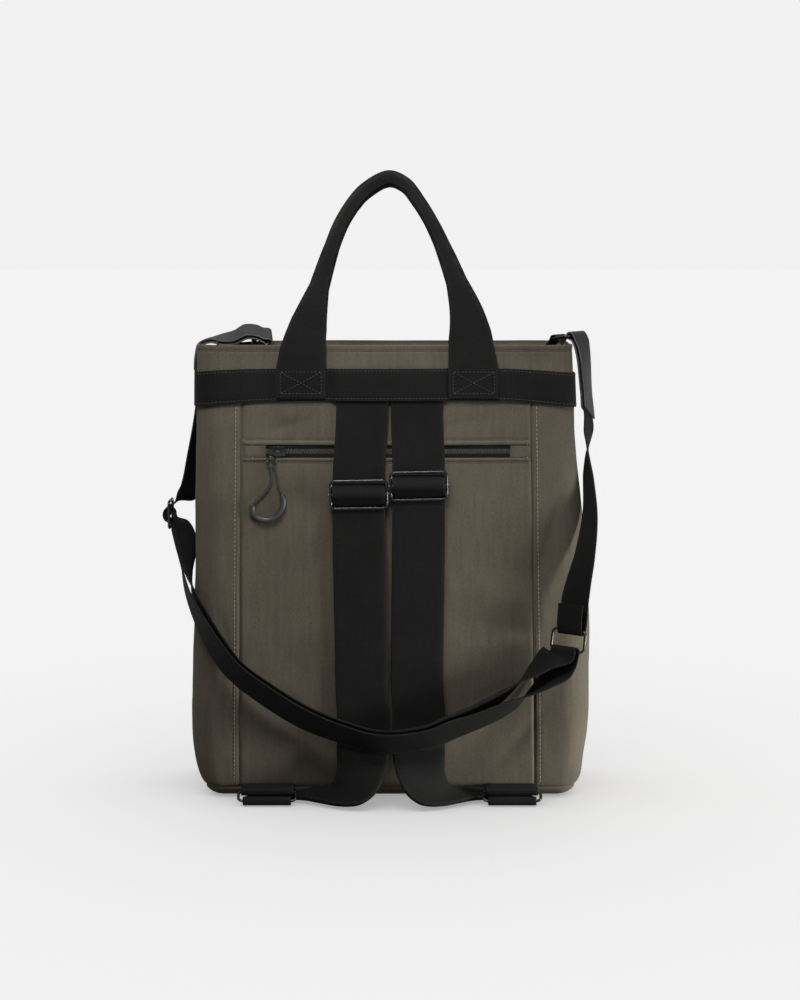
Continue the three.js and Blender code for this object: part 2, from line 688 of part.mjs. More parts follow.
function makeBackpackStrap(side) {
  const { sign, sliderZ } = side;
  const placed = (z, proud, width = strap.width) => {
    const rise = THREE.MathUtils.smoothstep(z, sliderZ + besideSlider, strapTops[0]);
    const fall = 1 - THREE.MathUtils.smoothstep(z, rollFrom, sliderZ - besideSlider);
    const above = THREE.MathUtils.lerp(side.sliderX, side.top, rise);
    const x = THREE.MathUtils.lerp(above, side.low, z < sliderZ - besideSlider ? fall : 0);
    const chord = onFront(x + width / 2, z).sub(onFront(x - width / 2, z));
    return station(onFront(x, z, proud), chord, width, strap.thick);
  };
  const near = (row) => placed(sliderZ + row.rise, row.proud, strap.width - sliderFrame.play);
  const down = [
    ...strapTops.map((z) => placed(z, lay, strap.width - sliderFrame.play)),
    ...overSlider.map(near),
    ...faceHeights.map((z) => placed(z, outerLay)),
  ];
  const up = [...faceHeights.map((z) => placed(z, lay)).reverse(), ...roundBar.map(near)];

  // the right strap is the left one turned over and moved to its own foot
  const leftFoot = strapSides[0].foot;
  const mirrored = (x, shift) => side.foot - (x - leftFoot) - shift;
  const roll = rollRows.map((row) => {
    const free = THREE.MathUtils.clamp(Math.abs(row.x - leftFoot) / shiftOver, 0, 1);
    const x = sign < 0 ? row.x : mirrored(row.x, anchor.shift * free);
    const across = sign < 0 ? vec(row.ax, row.ay, row.az) : vec(row.ax, -row.ay, -row.az);
    return station(vec(x, row.y, row.z), across, row.width, strap.thick);
  });
  const anchorX = sign < 0 ? -anchor.x : mirrored(-anchor.x, anchor.shift);
  const bar = vec(anchorX, anchor.barY, anchor.barZ);
  const radius = turnRadius(strap.thick);
  const loop = halfTurn(bar, vec(1, 0, 0), vec(0, -1, 0), radius, anchor.strapWidth, strap.thick);
  const outgoing = shifted(roll, strap.ply / 2);
  const returning = shifted(roll, -strap.ply / 2).reverse();
  const strip = ribbon([...down, ...outgoing, ...loop, ...returning, ...up], 26);
  piece("backpack_strap_" + side.name, strip, webbing());
  return anchorX;
}

function makeBackpackHardware(side, anchorX) {
  const frame = solid(wireFrame(sliderFrame.long, sliderFrame.short, 2, wireThick));
  const pin = new THREE.CylinderGeometry(sliderFrame.pin, sliderFrame.pin, sliderFrame.pinLong, 8);
  pin.rotateZ(Math.PI / 2);
  const centre = onFront(side.sliderX, side.sliderZ, sliderProud);
  const half = sliderFrame.long / 2;
  const long = onFront(side.sliderX + half, side.sliderZ).sub(onFront(side.sliderX - half, side.sliderZ));
  long.z = side.tilt * long.length();
  placeFrame("backpack_slider_" + side.name, fromSolid(frame.add(solid(pin))), centre, long, vec(0, 0, 1));

  const across = vec(1, 0, 0);
  const rise = vec(0, anchor.topY - anchor.barY, anchor.topZ - anchor.barZ);
  const middle = vec(anchorX, (anchor.topY + anchor.barY) / 2, (anchor.topZ + anchor.barZ) / 2);
  const ring = wireFrame(anchor.long, rise.length() + wireThick, 1, wireThick);
  placeFrame("anchor_ring_" + side.name, ring, middle, across, rise);

  // tab: out from the bottom seam, round the ring's upper bar and back
  const leg = (y, lift) => station(vec(anchorX, y, anchor.topZ + lift), across, strap.width, strap.thick);
  const bar = vec(anchorX, anchor.topY, anchor.topZ);
  const round = halfTurn(bar, across, vec(0, -1, 0), turnRadius(strap.thick), strap.width, strap.thick, -1);
  const tab = [leg(-61.4, -1.1), leg(-70, -2.4), ...round, leg(-70, 2.2), leg(-61.4, 1.3)];
  piece("anchor_tab_" + side.name, ribbon(tab, 12), webbing());
}

// Shoulder strap: its centre line, and roll, the degrees it is turned up from lying edge-on
const shoulderOuter = table(
  ["x", "y", "z", "roll"],
  [
    [-202.0, -7, 245, 0],
    [-199.0, -14, 235, 0],
    [-194.8, -26, 222, 3],
    [-190.8, -38, 208, 8],
    [-184.6, -54, 190, 16],
    [-172.5, -69, 167, 28],
    [-158.5, -77, 144, 38],
    [-143, -81, 124, 43],
    [-116, -84, 103, 46],
    [-76, -88, 79, 47],
    [-41, -93, 66.5, 44],
    [-8.6, -95, 58.5, 46],
    [36, -95, 63, 46],
    [57, -92, 71, 45],
    [78, -88, 77.5, 40],
    [99, -85, 86, 36],
    [113, -83, 93, 28],
    [126, -82, 102, 5],
    [143, -83, 115.5, -22],
    [157, -82.5, 127.5, -42],
  ],
);
const shoulderInner = table(
  ["x", "y", "z", "roll"],
  [
    [-199.6, -7, 245, 0],
    [-194.6, -16, 235, 10],
    [-188.6, -27, 222, 18],
    [-184.2, -39.5, 207, 20],
    [-179.2, -54, 191.5, 22],
    [-169.2, -68, 170, 30],
    [-155.7, -75.6, 146.6, 38.5],
    [-140.9, -79.4, 126.3, 43],
    [-114.4, -82.4, 105.8, 46],
    [-75, -86.4, 82.2, 47],
    [-40.4, -91.4, 70.1, 44],
    [-8.4, -93.3, 62.2, 46],
    [35.6, -93, 67.4, 45],
    [56, -90, 76.6, 43],
    [76.5, -86, 85.4, 38],
    [98, -83, 98, 30],
    [115.5, -81.5, 111, 14],
    [133, -81.5, 126, -16],
    [145, -82.5, 136, -36],
  ],
);
const ringBar = vec(0.77, -0.64, 0);
const shoulderRing = { centre: vec(161.6, -84, 151.6), up: vec(0.3, 0, 0.95), half: 9.4, long: 38.6 };
const shoulderSlider = { centre: vec(-204.6, -6, 258), half: 12.2, long: 36 };

// Middle of each leather tab, from its cut end to the ring. a points from the rear edge to the front edge,
// and skew slants the cut end.
const leafColumns = ["x", "y", "z", "ax", "ay", "az", "skew"];
const leafRows = {
  right: table(leafColumns, [
    [183.8, -10.4, 352, -0.47, -0.88, 0, -0.42],
    [181.8, -6, 376, -0.47, -0.88, 0, 0],
    [180.2, -2.6, 400, -0.47, -0.88, 0, 0],
    [178.6, -0.8, 412, -0.47, -0.88, 0, 0],
    [176.4, 0, 419.6, -0.47, -0.88, 0, 0],
  ]),
  left: table(leafColumns, [
    [-182.8, 43, 386, 0, -1, 0, 0.35],
    [-182, 45, 402, 0, -1, 0, 0],
    [-179, 44.5, 413.4, 0, -1, 0, 0],
    [-170, 41, 419, 0, -1, 0, 0],
    [-158, 37, 420.8, 0, -1, 0, 0],
    [-146, 33, 423.4, 0.05, -1, 0, 0],
    [-136, 30.5, 428.4, 0.1, -1, 0, 0],
    [-125.5, 29.5, 427.2, 0.1, -1, 0, 0],
    [-119.5, 29, 423.8, 0.1, -1, 0, 0],
  ]),
};
const shoulderStation = (at, across, width = shoulder.width) => station(at, across, width, shoulder.thick);
const webbingRow = (row) => shoulderStation(vec(row.x, row.y, row.z), vec(row.ax, row.ay, row.az));
function leatherLeaf(rows, width) {
  const path = smoothPath(rows.map((r) => vec(r.x, r.y, r.z)));
  return rows.map((r, i) => {
    const across = vec(r.ax, r.ay, r.az).addScaledVector(path.getTangent(i / (rows.length - 1)), r.skew);
    return station(vec(r.x, r.y, r.z), across, width * Math.hypot(1, r.skew), leatherThick);
  });
}

function rolled(rows) {
  const path = smoothPath(rows.map((r) => vec(r.x, r.y, r.z)));
  return rows.map((row, i) => {
    const tangent = path.getTangent(i / (rows.length - 1));
    const inward = vec(tangent.x, 0, tangent.z).normalize().cross(vec(0, 1, 0));
    const a = THREE.MathUtils.degToRad(row.roll);
    const across = vec(0, -Math.cos(a), 0).addScaledVector(inward, Math.sin(a));
    return shoulderStation(vec(row.x, row.y, row.z), across);
  });
}

// The long strap in the slider, as offsets from the slider's centre: its sewn end round the middle bar,
// and the ply that passes through
const sewnEnd = table(
  ["x", "z"],
  [[-2.5, -1.9], [-3.1, 0], [-2.2, 2.2], [0, 3.1], [2.2, 2.2], [3.1, 0], [3.9, -5]],
);
const passing = table(
  ["x", "z"],
  [
    [2.7, -10],
    [1.4, -7.6],
    [-3, -5.6],
    [-5.2, -2],
    [-5.2, 2],
    [-3, 5.6],
    [1.4, 7.6],
    [2.7, 10],
    [2.8, 13.5],
  ],
);
const aboveSlider = table(
  ["x", "y", "z"],
  [
    [-199.2, -1, 285],
    [-194.2, 9, 307],
    [-189.8, 20, 329],
    [-186, 31, 350],
    [-183.6, 38.5, 369],
  ],
);
// before the ring, half turned over
const leadIn = { at: vec(154.2, -85.4, 137.6), across: vec(0.72, -0.66, -0.2) };
const leatherEnd = 3; // rows of the left leather tab that the webbing stops short of

function makeShoulderLong() {
  const { centre } = shoulderSlider;
  const edgeOn = (x, y, z) => shoulderStation(vec(x, y, z), vec(0, -1, 0));
  const inSlider = (row) => edgeOn(centre.x + row.x, centre.y, centre.z + row.z);
  const lower = shoulderRing.centre.clone().addScaledVector(shoulderRing.up, -shoulderRing.half);
  const { gathered, thick } = shoulder;
  const loop = halfTurn(lower, ringBar, vec(0, 0, 1), turnRadius(thick), gathered, thick, -1);
  const stations = [
    ...sewnEnd.map(inSlider),
    ...rolled(shoulderInner),
    shoulderStation(leadIn.at, leadIn.across),
    ...loop,
    ...rolled(shoulderOuter).reverse(),
    ...passing.map(inSlider),
    ...aboveSlider.map((row) => edgeOn(row.x, row.y, row.z)),
    ...leafRows.left.slice(0, -leatherEnd).map(webbingRow),
  ];
  piece("shoulder_strap_long", ribbon(stations, 17), webbing());
}

const shortRows = table(
  ["x", "y", "z", "ax", "ay", "az"],
  [
    [184.3, -13.6, 338, -0.36, -0.93, 0],
    [183.6, -18.5, 326, -0.2, -0.98, 0],
    [182.6, -24, 314, 0, -1, 0],
    [182.4, -37, 296, 0.22, -0.97, 0],
    [182, -62.5, 263, 0.36, -0.93, 0],
    [176.4, -78, 229, 0.52, -0.85, 0],
    [170.8, -81, 205, 0.68, -0.73, 0],
    [167.6, -81, 187, 0.77, -0.64, 0],
    [166.9, -81.2, 174, 0.77, -0.64, 0],
  ],
);
const shortTail = [vec(162.3, -86.8, 170), vec(163.4, -86, 185)]; // sewn back on itself above the ring
function makeShoulderShort() {
  const upper = shoulderRing.centre.clone().addScaledVector(shoulderRing.up, shoulderRing.half);
  const { gathered, thick } = shoulder;
  const loop = halfTurn(upper, ringBar, vec(0, 0, -1), turnRadius(thick), gathered, thick, -1);
  const tail = shortTail.map((at) => shoulderStation(at, ringBar, gathered));
  const rows = [...leafRows.right.slice(0, 3).reverse(), ...shortRows];
  piece("shoulder_strap_short", ribbon([...rows.map(webbingRow), ...loop, ...tail], 14), webbing());
}

function makeShoulderHardware() {
  const { centre, up, half, long } = shoulderRing;
  placeFrame("shoulder_ring", wireFrame(long, 2 * half + wireThick, 1, wireThick), centre, ringBar, up);
  const slider = shoulderSlider;
  const frame = wireFrame(slider.long, 2 * slider.half + wireThick, 2, wireThick);
  placeFrame("shoulder_slider", frame, slider.centre, vec(0, -1, 0), vec(0, 0, 1));
}

// Leather tabs: two leaves with the webbing between them, folded round a top ring's outer bar (bar, along).
// reach points to the ring's inner bar, where a webbing tab from the inside of the wall turns round it.
const tabSides = [
  {
    name: "right",
    bar: vec(172.9, 0, 423.6),
    along: vec(-0.47, -0.88, 0),
    reach: vec(-0.88, 0.47, -0.19),
    slide: 3.4,
    wallTurn: vec(0, 0, 1),
    rise: [vec(162.2, 1, 384), vec(162.2, 1, 404), vec(161, 1, 413)],
    fall: [vec(150, 4, 415), vec(142, 4.5, 411), vec(134, 4, 408.6)],
  },
  {
    name: "left",
    bar: vec(-114.5, 29, 420.9),
    along: vec(0.1, -1, 0),
    reach: vec(-0.85, 0, -0.5),
    slide: 0,
    wallTurn: vec(1, 0, 0.3),
    rise: [vec(-171.6, 14, 384), vec(-171.2, 15, 398), vec(-164, 19, 405), vec(-148, 26, 408)],
    fall: [],
  },
];
const topRing = { span: 16.5, long: 39.4 }; // span: centre to centre of its two long bars
const leatherTab = { width: 30.6, ply: 2.2 }; // ply: centre of the webbing to centre of a leaf
const ringTabWidth = 25;

function makeTopTab(side) {
  const leaf = leatherLeaf(leafRows[side.name], leatherTab.width);
  const away = side.bar.clone().sub(leaf[leaf.length - 1].at);
  const turn = halfTurn(side.bar, side.along, away, turnRadius(leatherThick), leatherTab.width, leatherThick);
  const leaves = [...shifted(leaf, leatherTab.ply), ...turn, ...shifted(leaf, -leatherTab.ply).reverse()];
  piece("leather_tab_" + side.name, ribbon(leaves, 12), leather());

  const along = side.along.clone().normalize();
  const across = side.reach.clone().addScaledVector(along, -side.reach.dot(along)).setLength(topRing.span);
  const inner = side.bar.clone().add(across);
  const centre = inner.clone().add(side.bar).multiplyScalar(0.5);
  const frame = wireFrame(topRing.long, topRing.span + wireThick, 1, wireThick);
  placeFrame("top_ring_" + side.name, frame, centre, side.along, across);

  const tabStation = (at, direction) => station(at, direction, ringTabWidth, shoulder.thick);
  const seat = inner.clone().addScaledVector(along, side.slide);
  const { thick } = shoulder;
  const round = halfTurn(seat, along, side.wallTurn, turnRadius(thick), ringTabWidth, thick);
  const stations = [
    ...side.rise.map((at) => tabStation(at, vec(0, -1, 0))),
    ...round,
    ...side.fall.map((at) => tabStation(at, along)),
  ];
  piece("ring_tab_" + side.name, ribbon(stations, 12), webbing());
}

makeRimFacing();
makePanels();
makeBase();
makeBand();
makePocketZip();
makePull();
makeHandle("handle_front", -1, 1);
makeHandle("handle_back", 1, 1.06);
for (const side of strapSides) makeBackpackHardware(side, makeBackpackStrap(side));
makeShoulderLong();
makeShoulderShort();
makeShoulderHardware();
tabSides.forEach(makeTopTab);

export default bag;
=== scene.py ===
# Convertible backpack: khaki twill tote body, black webbing straps and handles, gunmetal wire hardware.
# Tables are in millimetres and meshes in metres; +Z up, the strap side towards -Y.
import json
import math
from functools import lru_cache

import bmesh
import bpy
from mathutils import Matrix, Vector, noise

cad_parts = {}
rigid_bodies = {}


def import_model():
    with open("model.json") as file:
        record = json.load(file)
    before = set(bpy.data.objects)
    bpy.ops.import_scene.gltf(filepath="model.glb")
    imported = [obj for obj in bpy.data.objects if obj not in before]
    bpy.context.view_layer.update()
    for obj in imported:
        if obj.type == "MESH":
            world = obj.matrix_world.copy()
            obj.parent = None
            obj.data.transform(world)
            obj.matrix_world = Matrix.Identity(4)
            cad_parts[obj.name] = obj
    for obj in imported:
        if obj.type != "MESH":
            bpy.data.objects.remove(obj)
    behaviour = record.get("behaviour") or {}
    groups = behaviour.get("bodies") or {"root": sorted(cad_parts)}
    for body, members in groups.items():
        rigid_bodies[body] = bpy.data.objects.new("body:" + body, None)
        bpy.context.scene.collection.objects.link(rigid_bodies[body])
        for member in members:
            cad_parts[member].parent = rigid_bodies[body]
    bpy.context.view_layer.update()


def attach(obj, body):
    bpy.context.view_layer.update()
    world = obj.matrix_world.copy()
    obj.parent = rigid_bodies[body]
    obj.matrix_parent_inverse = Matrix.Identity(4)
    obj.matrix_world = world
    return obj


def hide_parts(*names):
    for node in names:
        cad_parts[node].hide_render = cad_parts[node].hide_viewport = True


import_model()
mm = 0.001


# Tables and smooth curves
def table(columns, rows):
    names = columns.split()
    return [dict(zip(names, row)) for row in rows]


def lerp(a, b, t):
    return a + (b - a) * t


def clamp(value, low=0.0, high=1.0):
    return max(low, min(high, value))


def smoothStep(value, low, high):
    t = clamp((value - low) / (high - low))
    return t * t * (3 - 2 * t)


def bump(distance, reach):
    return math.exp(-((distance / reach) ** 2))


def steps(start, end, count):
    return [lerp(start, end, i / count) for i in range(count + 1)]


def smoothAt(rows, key, place, column):
    last = len(rows) - 1
    if place <= rows[0][key]:
        return rows[0][column]
    if place >= rows[last][key]:
        return rows[last][column]
    i = next(k for k, row in enumerate(rows) if row[key] > place) - 1
    a, b = rows[i], rows[i + 1]
    span = b[key] - a[key]

    def slope(j):
        before, after = rows[max(j - 1, 0)], rows[min(j + 1, last)]
        return (after[column] - before[column]) / (after[key] - before[key]) * span

    t = (place - a[key]) / span
    rise = 3 * t**2 - 2 * t**3
    return (
        (1 - rise) * a[column] + (t**3 - 2 * t**2 + t) * slope(i)
        + rise * b[column] + (t**3 - t**2) * slope(i + 1)
    )


class SmoothPath:
    # centripetal Catmull-Rom curve through points, with t running evenly over the points
    def __init__(self, points):
        self.points = points
        self.last = len(points) - 1

    def point(self, t):
        place = clamp(t) * self.last
        i = min(int(place), self.last - 1)
        f = place - i
        p = self.points
        p1, p2 = p[i], p[i + 1]
        p0 = p[i - 1] if i > 0 else p1 * 2 - p2
        p3 = p[i + 2] if i + 2 <= self.last else p2 * 2 - p1
        d0, d1, d2 = (max((b - a).length, 1e-6) ** 0.5 for a, b in ((p0, p1), (p1, p2), (p2, p3)))
        m1 = ((p1 - p0) / d0 - (p2 - p0) / (d0 + d1) + (p2 - p1) / d1) * d1
        m2 = ((p2 - p1) / d1 - (p3 - p1) / (d1 + d2) + (p3 - p2) / d2) * d1
        c2 = (p2 - p1) * 3 - m1 * 2 - m2
        c3 = (p1 - p2) * 2 + m1 + m2
        return p1 + m1 * f + c2 * f**2 + c3 * f**3

    def tangent(self, t):
        low, high = clamp(t - 0.0001), clamp(t + 0.0001)
        return (self.point(high) - self.point(low)).normalized()


# Body form: the same sections as the frame's panels
body = {
    "wall": 2,
    "rim": 417,
    "facingFrom": 378,
    "seamHeight": 10,
    "seamBack": 132,
}
sections = table(
    "z left right front back corner bow sideBow",
    [
        (10, -171.5, 172.5, 60.5, 59, 18, 0.5, 0),
        (18, -176, 177, 61.5, 60, 20, 1, 0.5),
        (34, -180.5, 179.4, 62.5, 61, 22, 2, 1),
        (62, -182.8, 183.0, 63.5, 62, 24, 3, 1),
        (110, -182, 184.2, 64, 63, 26, 4, 1),
        (170, -180.2, 183.6, 64, 63, 27, 5, 1),
        (230, -179.2, 180.2, 63, 62, 27, 5, 1),
        (285, -178.4, 174.8, 62, 60, 26, 5, 0.8),
        (326, -177.2, 170.2, 60, 58, 24, 4, 0.5),
        (360, -176.5, 168.8, 58, 56, 22, 3, 0.3),
        (396, -176, 167.3, 55.5, 54, 20, 2.5, 0),
        (417, -175.5, 166.5, 54, 52, 20, 2, 0),
    ],
)
dents = table(
    "face along z reach rise depth",
    [
        ("front", -96, 338, 20, 16, 2.2),
        ("front", 138, 404, 22, 12, 1.2),
        ("front", -158, 210, 14, 60, 2.2),
        ("front", 153, 300, 12, 60, 2.4),
        ("front", 90, 150, 30, 60, 1.6),
        ("front", -100, 130, 30, 60, 1.6),
        ("back", 0, 240, 90, 110, 3),
        ("back", -120, 320, 40, 30, 2),
        ("left", 0, 250, 30, 90, 4),
        ("right", 0, 300, 30, 80, 4),
        ("left", 10, 120, 34, 40, -2),
        ("right", 5, 120, 34, 40, -2),
    ],
)
# Shallow creases, long in one slanted direction: length and width are reaches, lean is degrees from upright
creases = table(
    "face along z lean length width depth",
    [
        ("front", 150, 262, 14, 62, 5, 1.8),
        ("front", 160, 236, 20, 50, 6, -1.3),
        ("front", -90, 345, 74, 18, 4, 1.1),
        ("front", -152, 150, -12, 60, 6, 1.3),
        ("front", 100, 100, 68, 40, 7, 1.1),
        ("front", -96, 88, -66, 36, 7, 1.0),
        ("front", 60, 345, 80, 30, 5, 0.8),
        ("front", 122, 60, 40, 40, 6, 1.0),
        ("back", -60, 330, 62, 60, 8, 1.6),
        ("back", 70, 310, -58, 55, 8, 1.4),
        ("back", -110, 120, 35, 60, 9, 1.4),
        ("back", 105, 110, -40, 60, 9, 1.4),
        ("left", 0, 300, 10, 60, 7, 2.2),
        ("left", -16, 150, -16, 60, 8, 1.6),
        ("right", 4, 310, -8, 60, 7, 2.2),
        ("right", 14, 160, 14, 60, 8, 1.6),
    ],
)


@lru_cache(maxsize=4096)
def section(z):
    names = ("left", "right", "front", "back", "corner", "bow", "sideBow")
    return {name: smoothAt(sections, "z", z, name) for name in names}


def softened(x, y, z, s, creased):
    mid = (s["left"] + s["right"]) / 2
    across = (x - mid) / (s["right"] - mid)
    depth = y / s["front"] if y < 0 else y / s["back"]
    dy = s["bow"] * math.cos(math.pi / 2 * clamp(across, -1, 1)) ** 2 * depth
    dx = s["sideBow"] * math.cos(math.pi / 2 * clamp(depth, -1, 1)) ** 2 * across
    flat = 1 - across**8
    side = across**2 * (1 - depth**2)
    shapes = [(d, bump((x if d["face"] in ("front", "back") else y) - d["along"], d["reach"])
               * bump(z - d["z"], d["rise"])) for d in dents]
    if creased:
        for c in creases:
            place = (x if c["face"] in ("front", "back") else y) - c["along"]
            lean = math.radians(c["lean"])
            along = place * math.sin(lean) + (z - c["z"]) * math.cos(lean)
            off = place * math.cos(lean) - (z - c["z"]) * math.sin(lean)
            shapes.append((c, bump(along, c["length"]) * bump(off, c["width"])))
    for shape, share in shapes:
        amount = shape["depth"] * share
        if shape["face"] == "front" and depth < 0 or shape["face"] == "back" and depth > 0:
            dy -= amount * depth * flat
        if shape["face"] == "left" and across < 0:
            dx += amount * side
        if shape["face"] == "right" and across > 0:
            dx -= amount * side
    return Vector((x + dx, y + dy, z))


# turn runs 0..8 round the body: front, corner, right side, corner, back, corner, left side, corner
def bodyPoint(turn, z, inset=0.0, creased=False):
    s = section(z)
    r = max(s["corner"] - inset, 1)
    left, right = s["left"] + inset + r, s["right"] - inset - r
    front, back = -s["front"] + inset + r, s["back"] - inset - r
    leg, f = int(turn) % 8, turn - int(turn)
    centres = {1: (right, front, -90), 3: (right, back, 0), 5: (left, back, 90), 7: (left, front, 180)}
    if leg in centres:
        x, y, start = centres[leg]
        angle = math.radians(start + 90 * f)
        x, y = x + r * math.cos(angle), y + r * math.sin(angle)
    else:
        x, y = {
            0: (lerp(left, right, f), front - r),
            2: (right + r, lerp(front, back, f)),
            4: (lerp(right, left, f), back + r),
            6: (left - r, lerp(back, front, f)),
        }[leg]
    return softened(x, y, z, s, creased)


def turnAt(x, z, back=False):
    s = section(z)
    f = (x - s["left"] - s["corner"]) / (s["right"] - s["left"] - 2 * s["corner"])
    return 5 - f if back else f


def onFront(x, z, proud=0.0, creased=False):
    return bodyPoint(turnAt(x, z), z, 0, creased) - Vector((0, proud, 0))


def onBack(x, z, proud=0.0):
    return bodyPoint(turnAt(x, z, True), z) + Vector((0, proud, 0))


# Small uneven swell of woven cloth, the same on every run
def cloth(point, size, depth):
    return noise.noise(point / size) * depth


# Materials
def newMaterial(name):
    material = bpy.data.materials.new(name)
    material.use_nodes = True
    nodes = material.node_tree.nodes
    shader = nodes["Principled BSDF"]
    return material, nodes, material.node_tree.links, shader


def addNode(nodes, kind, **values):
    node = nodes.new(kind)
    for key, value in values.items():
        if hasattr(node, key):
            setattr(node, key, value)
        else:
            node.inputs[key].default_value = value
    return node


def math2(nodes, links, operation, a, b):
    node = nodes.new("ShaderNodeMath")
    node.operation = operation
    for i, value in enumerate((a, b)):
        if isinstance(value, (int, float)):
            node.inputs[i].default_value = value
        else:
            links.new(value, node.inputs[i])
    return node.outputs[0]


def rampOf(nodes, links, source, stops):
    ramp = nodes.new("ShaderNodeValToRGB")
    ramp.color_ramp.elements[0].position = stops[0][0]
    ramp.color_ramp.elements[0].color = (*stops[0][1], 1)
    ramp.color_ramp.elements[1].position = stops[-1][0]
    ramp.color_ramp.elements[1].color = (*stops[-1][1], 1)
    for place, color in stops[1:-1]:
        ramp.color_ramp.elements.new(place).color = (*color, 1)
    links.new(source, ramp.inputs[0])
    return ramp.outputs[0]


def mixColors(nodes, links, blend, factor, a, b):
    mix = nodes.new("ShaderNodeMix")
    mix.data_type = "RGBA"
    mix.blend_type = blend
    for socket, value in ((mix.inputs[0], factor), (mix.inputs[6], a), (mix.inputs[7], b)):
        if isinstance(value, (int, float, tuple)):
            socket.default_value = value if isinstance(value, (int, float)) else (*value, 1)
        else:
            links.new(value, socket)
    return mix.outputs[2]


# Height in metres drives the shader's normal
def setBump(nodes, links, shader, height, distance, strength=1.0):
    node = addNode(nodes, "ShaderNodeBump", Strength=strength, Distance=distance)
    links.new(height, node.inputs["Height"])
    links.new(node.outputs[0], shader.inputs["Normal"])


# Even bands of a chosen spacing (in metres) across one direction of the piece's own uv map
def bands(nodes, links, vector, spacing, degrees, distortion=0.0):
    mapping = addNode(nodes, "ShaderNodeMapping")
    mapping.inputs["Rotation"].default_value = (0, 0, math.radians(degrees))
    links.new(vector, mapping.inputs["Vector"])
    wave = addNode(nodes, "ShaderNodeTexWave", bands_direction="X", wave_profile="SIN")
    wave.inputs["Scale"].default_value = 2 * math.pi / 20 / spacing
    wave.inputs["Distortion"].default_value = distortion
    links.new(mapping.outputs[0], wave.inputs["Vector"])
    return wave.outputs["Fac"]


def noiseOf(nodes, links, vector, scale, detail=2.0, stretch=(1, 1, 1)):
    mapping = addNode(nodes, "ShaderNodeMapping")
    mapping.inputs["Scale"].default_value = stretch
    links.new(vector, mapping.inputs["Vector"])
    texture = addNode(nodes, "ShaderNodeTexNoise")
    texture.inputs["Scale"].default_value = scale
    texture.inputs["Detail"].default_value = detail
    links.new(mapping.outputs[0], texture.inputs["Vector"])
    return texture.outputs["Fac"]


twillLook = {
    "dark": (0.041, 0.0355, 0.0255),
    "light": (0.106, 0.091, 0.066),
    "line": 0.0011,  # spacing of the diagonal lines
    "slant": 63,
    "roughness": 0.86,
}


def twillMaterial():
    material, nodes, links, shader = newMaterial("twill")
    uv = addNode(nodes, "ShaderNodeUVMap", uv_map="weave").outputs[0]
    place = addNode(nodes, "ShaderNodeTexCoord").outputs["Object"]
    lines = bands(nodes, links, uv, twillLook["line"], twillLook["slant"], 0.6)
    yarns = noiseOf(nodes, links, uv, 900, 2, (1, 0.35, 1))
    slubs = noiseOf(nodes, links, uv, 240, 3, (1, 0.12, 1))
    cloud = noiseOf(nodes, links, place, 11, 3)
    weave = math2(nodes, links, "MULTIPLY", lines, 0.45)
    weave = math2(nodes, links, "ADD", weave, math2(nodes, links, "MULTIPLY", yarns, 0.35))
    weave = math2(nodes, links, "ADD", weave, math2(nodes, links, "MULTIPLY", slubs, 0.3))
    tone = rampOf(nodes, links, weave, [(0.3, twillLook["dark"]), (0.85, twillLook["light"])])
    shade = rampOf(nodes, links, cloud, [(0.3, (0.86, 0.86, 0.86)), (0.7, (1.1, 1.09, 1.07))])
    links.new(mixColors(nodes, links, "MULTIPLY", 1.0, tone, shade), shader.inputs["Base Color"])
    shader.inputs["Roughness"].default_value = twillLook["roughness"]
    shader.inputs["Sheen Weight"].default_value = 0.04
    shader.inputs["Sheen Roughness"].default_value = 0.6
    shader.inputs["Specular IOR Level"].default_value = 0.15
    setBump(nodes, links, shader, weave, 0.00035, 0.7)
    return material


webbingLook = {
    "dark": (0.0035, 0.0035, 0.0034),
    "light": (0.0125, 0.0125, 0.012),
    "rib": 0.0016,  # spacing of the ribs along the strap
    "yarn": 0.0011,  # spacing of the warp yarns across it
    "selvedge": 0.0022,
    "roughness": 0.72,
}


def webbingMaterial():
    material, nodes, links, shader = newMaterial("webbing")
    uv = addNode(nodes, "ShaderNodeUVMap", uv_map="weave").outputs[0]
    edge = addNode(nodes, "ShaderNodeUVMap", uv_map="edge").outputs[0]
    ribs = bands(nodes, links, uv, webbingLook["rib"], 90, 0.3)
    warp = bands(nodes, links, uv, webbingLook["yarn"], 0)
    fuzz = noiseOf(nodes, links, uv, 700, 2)
    weave = math2(nodes, links, "MULTIPLY", ribs, warp)
    weave = math2(nodes, links, "ADD", math2(nodes, links, "MULTIPLY", weave, 0.6),
                  math2(nodes, links, "MULTIPLY", fuzz, 0.4))
    split = nodes.new("ShaderNodeSeparateXYZ")
    links.new(edge, split.inputs[0])
    border = math2(nodes, links, "LESS_THAN", split.outputs[0], webbingLook["selvedge"])
    tone = rampOf(nodes, links, weave, [(0.1, webbingLook["dark"]), (0.75, webbingLook["light"])])
    worn = noiseOf(nodes, links, addNode(nodes, "ShaderNodeTexCoord").outputs["Object"], 30, 3)
    shade = rampOf(nodes, links, worn, [(0.3, (0.85, 0.85, 0.85)), (0.75, (1.15, 1.15, 1.15))])
    toned = mixColors(nodes, links, "MULTIPLY", 1.0, tone, shade)
    lined = mixColors(nodes, links, "MULTIPLY", border, toned, (1.25, 1.25, 1.25))
    links.new(lined, shader.inputs["Base Color"])
    shader.inputs["Roughness"].default_value = webbingLook["roughness"]
    shader.inputs["Specular IOR Level"].default_value = 0.06
    shader.inputs["Sheen Weight"].default_value = 0.01
    shader.inputs["Sheen Roughness"].default_value = 0.5
    setBump(nodes, links, shader, weave, 0.0004, 0.8)
    return material


leatherLook = {
    "face": (0.02, 0.02, 0.0215),
    "crease": (0.009, 0.009, 0.0095),
    "grain": 420,
    "roughness": (0.38, 0.56),  # least and most
}


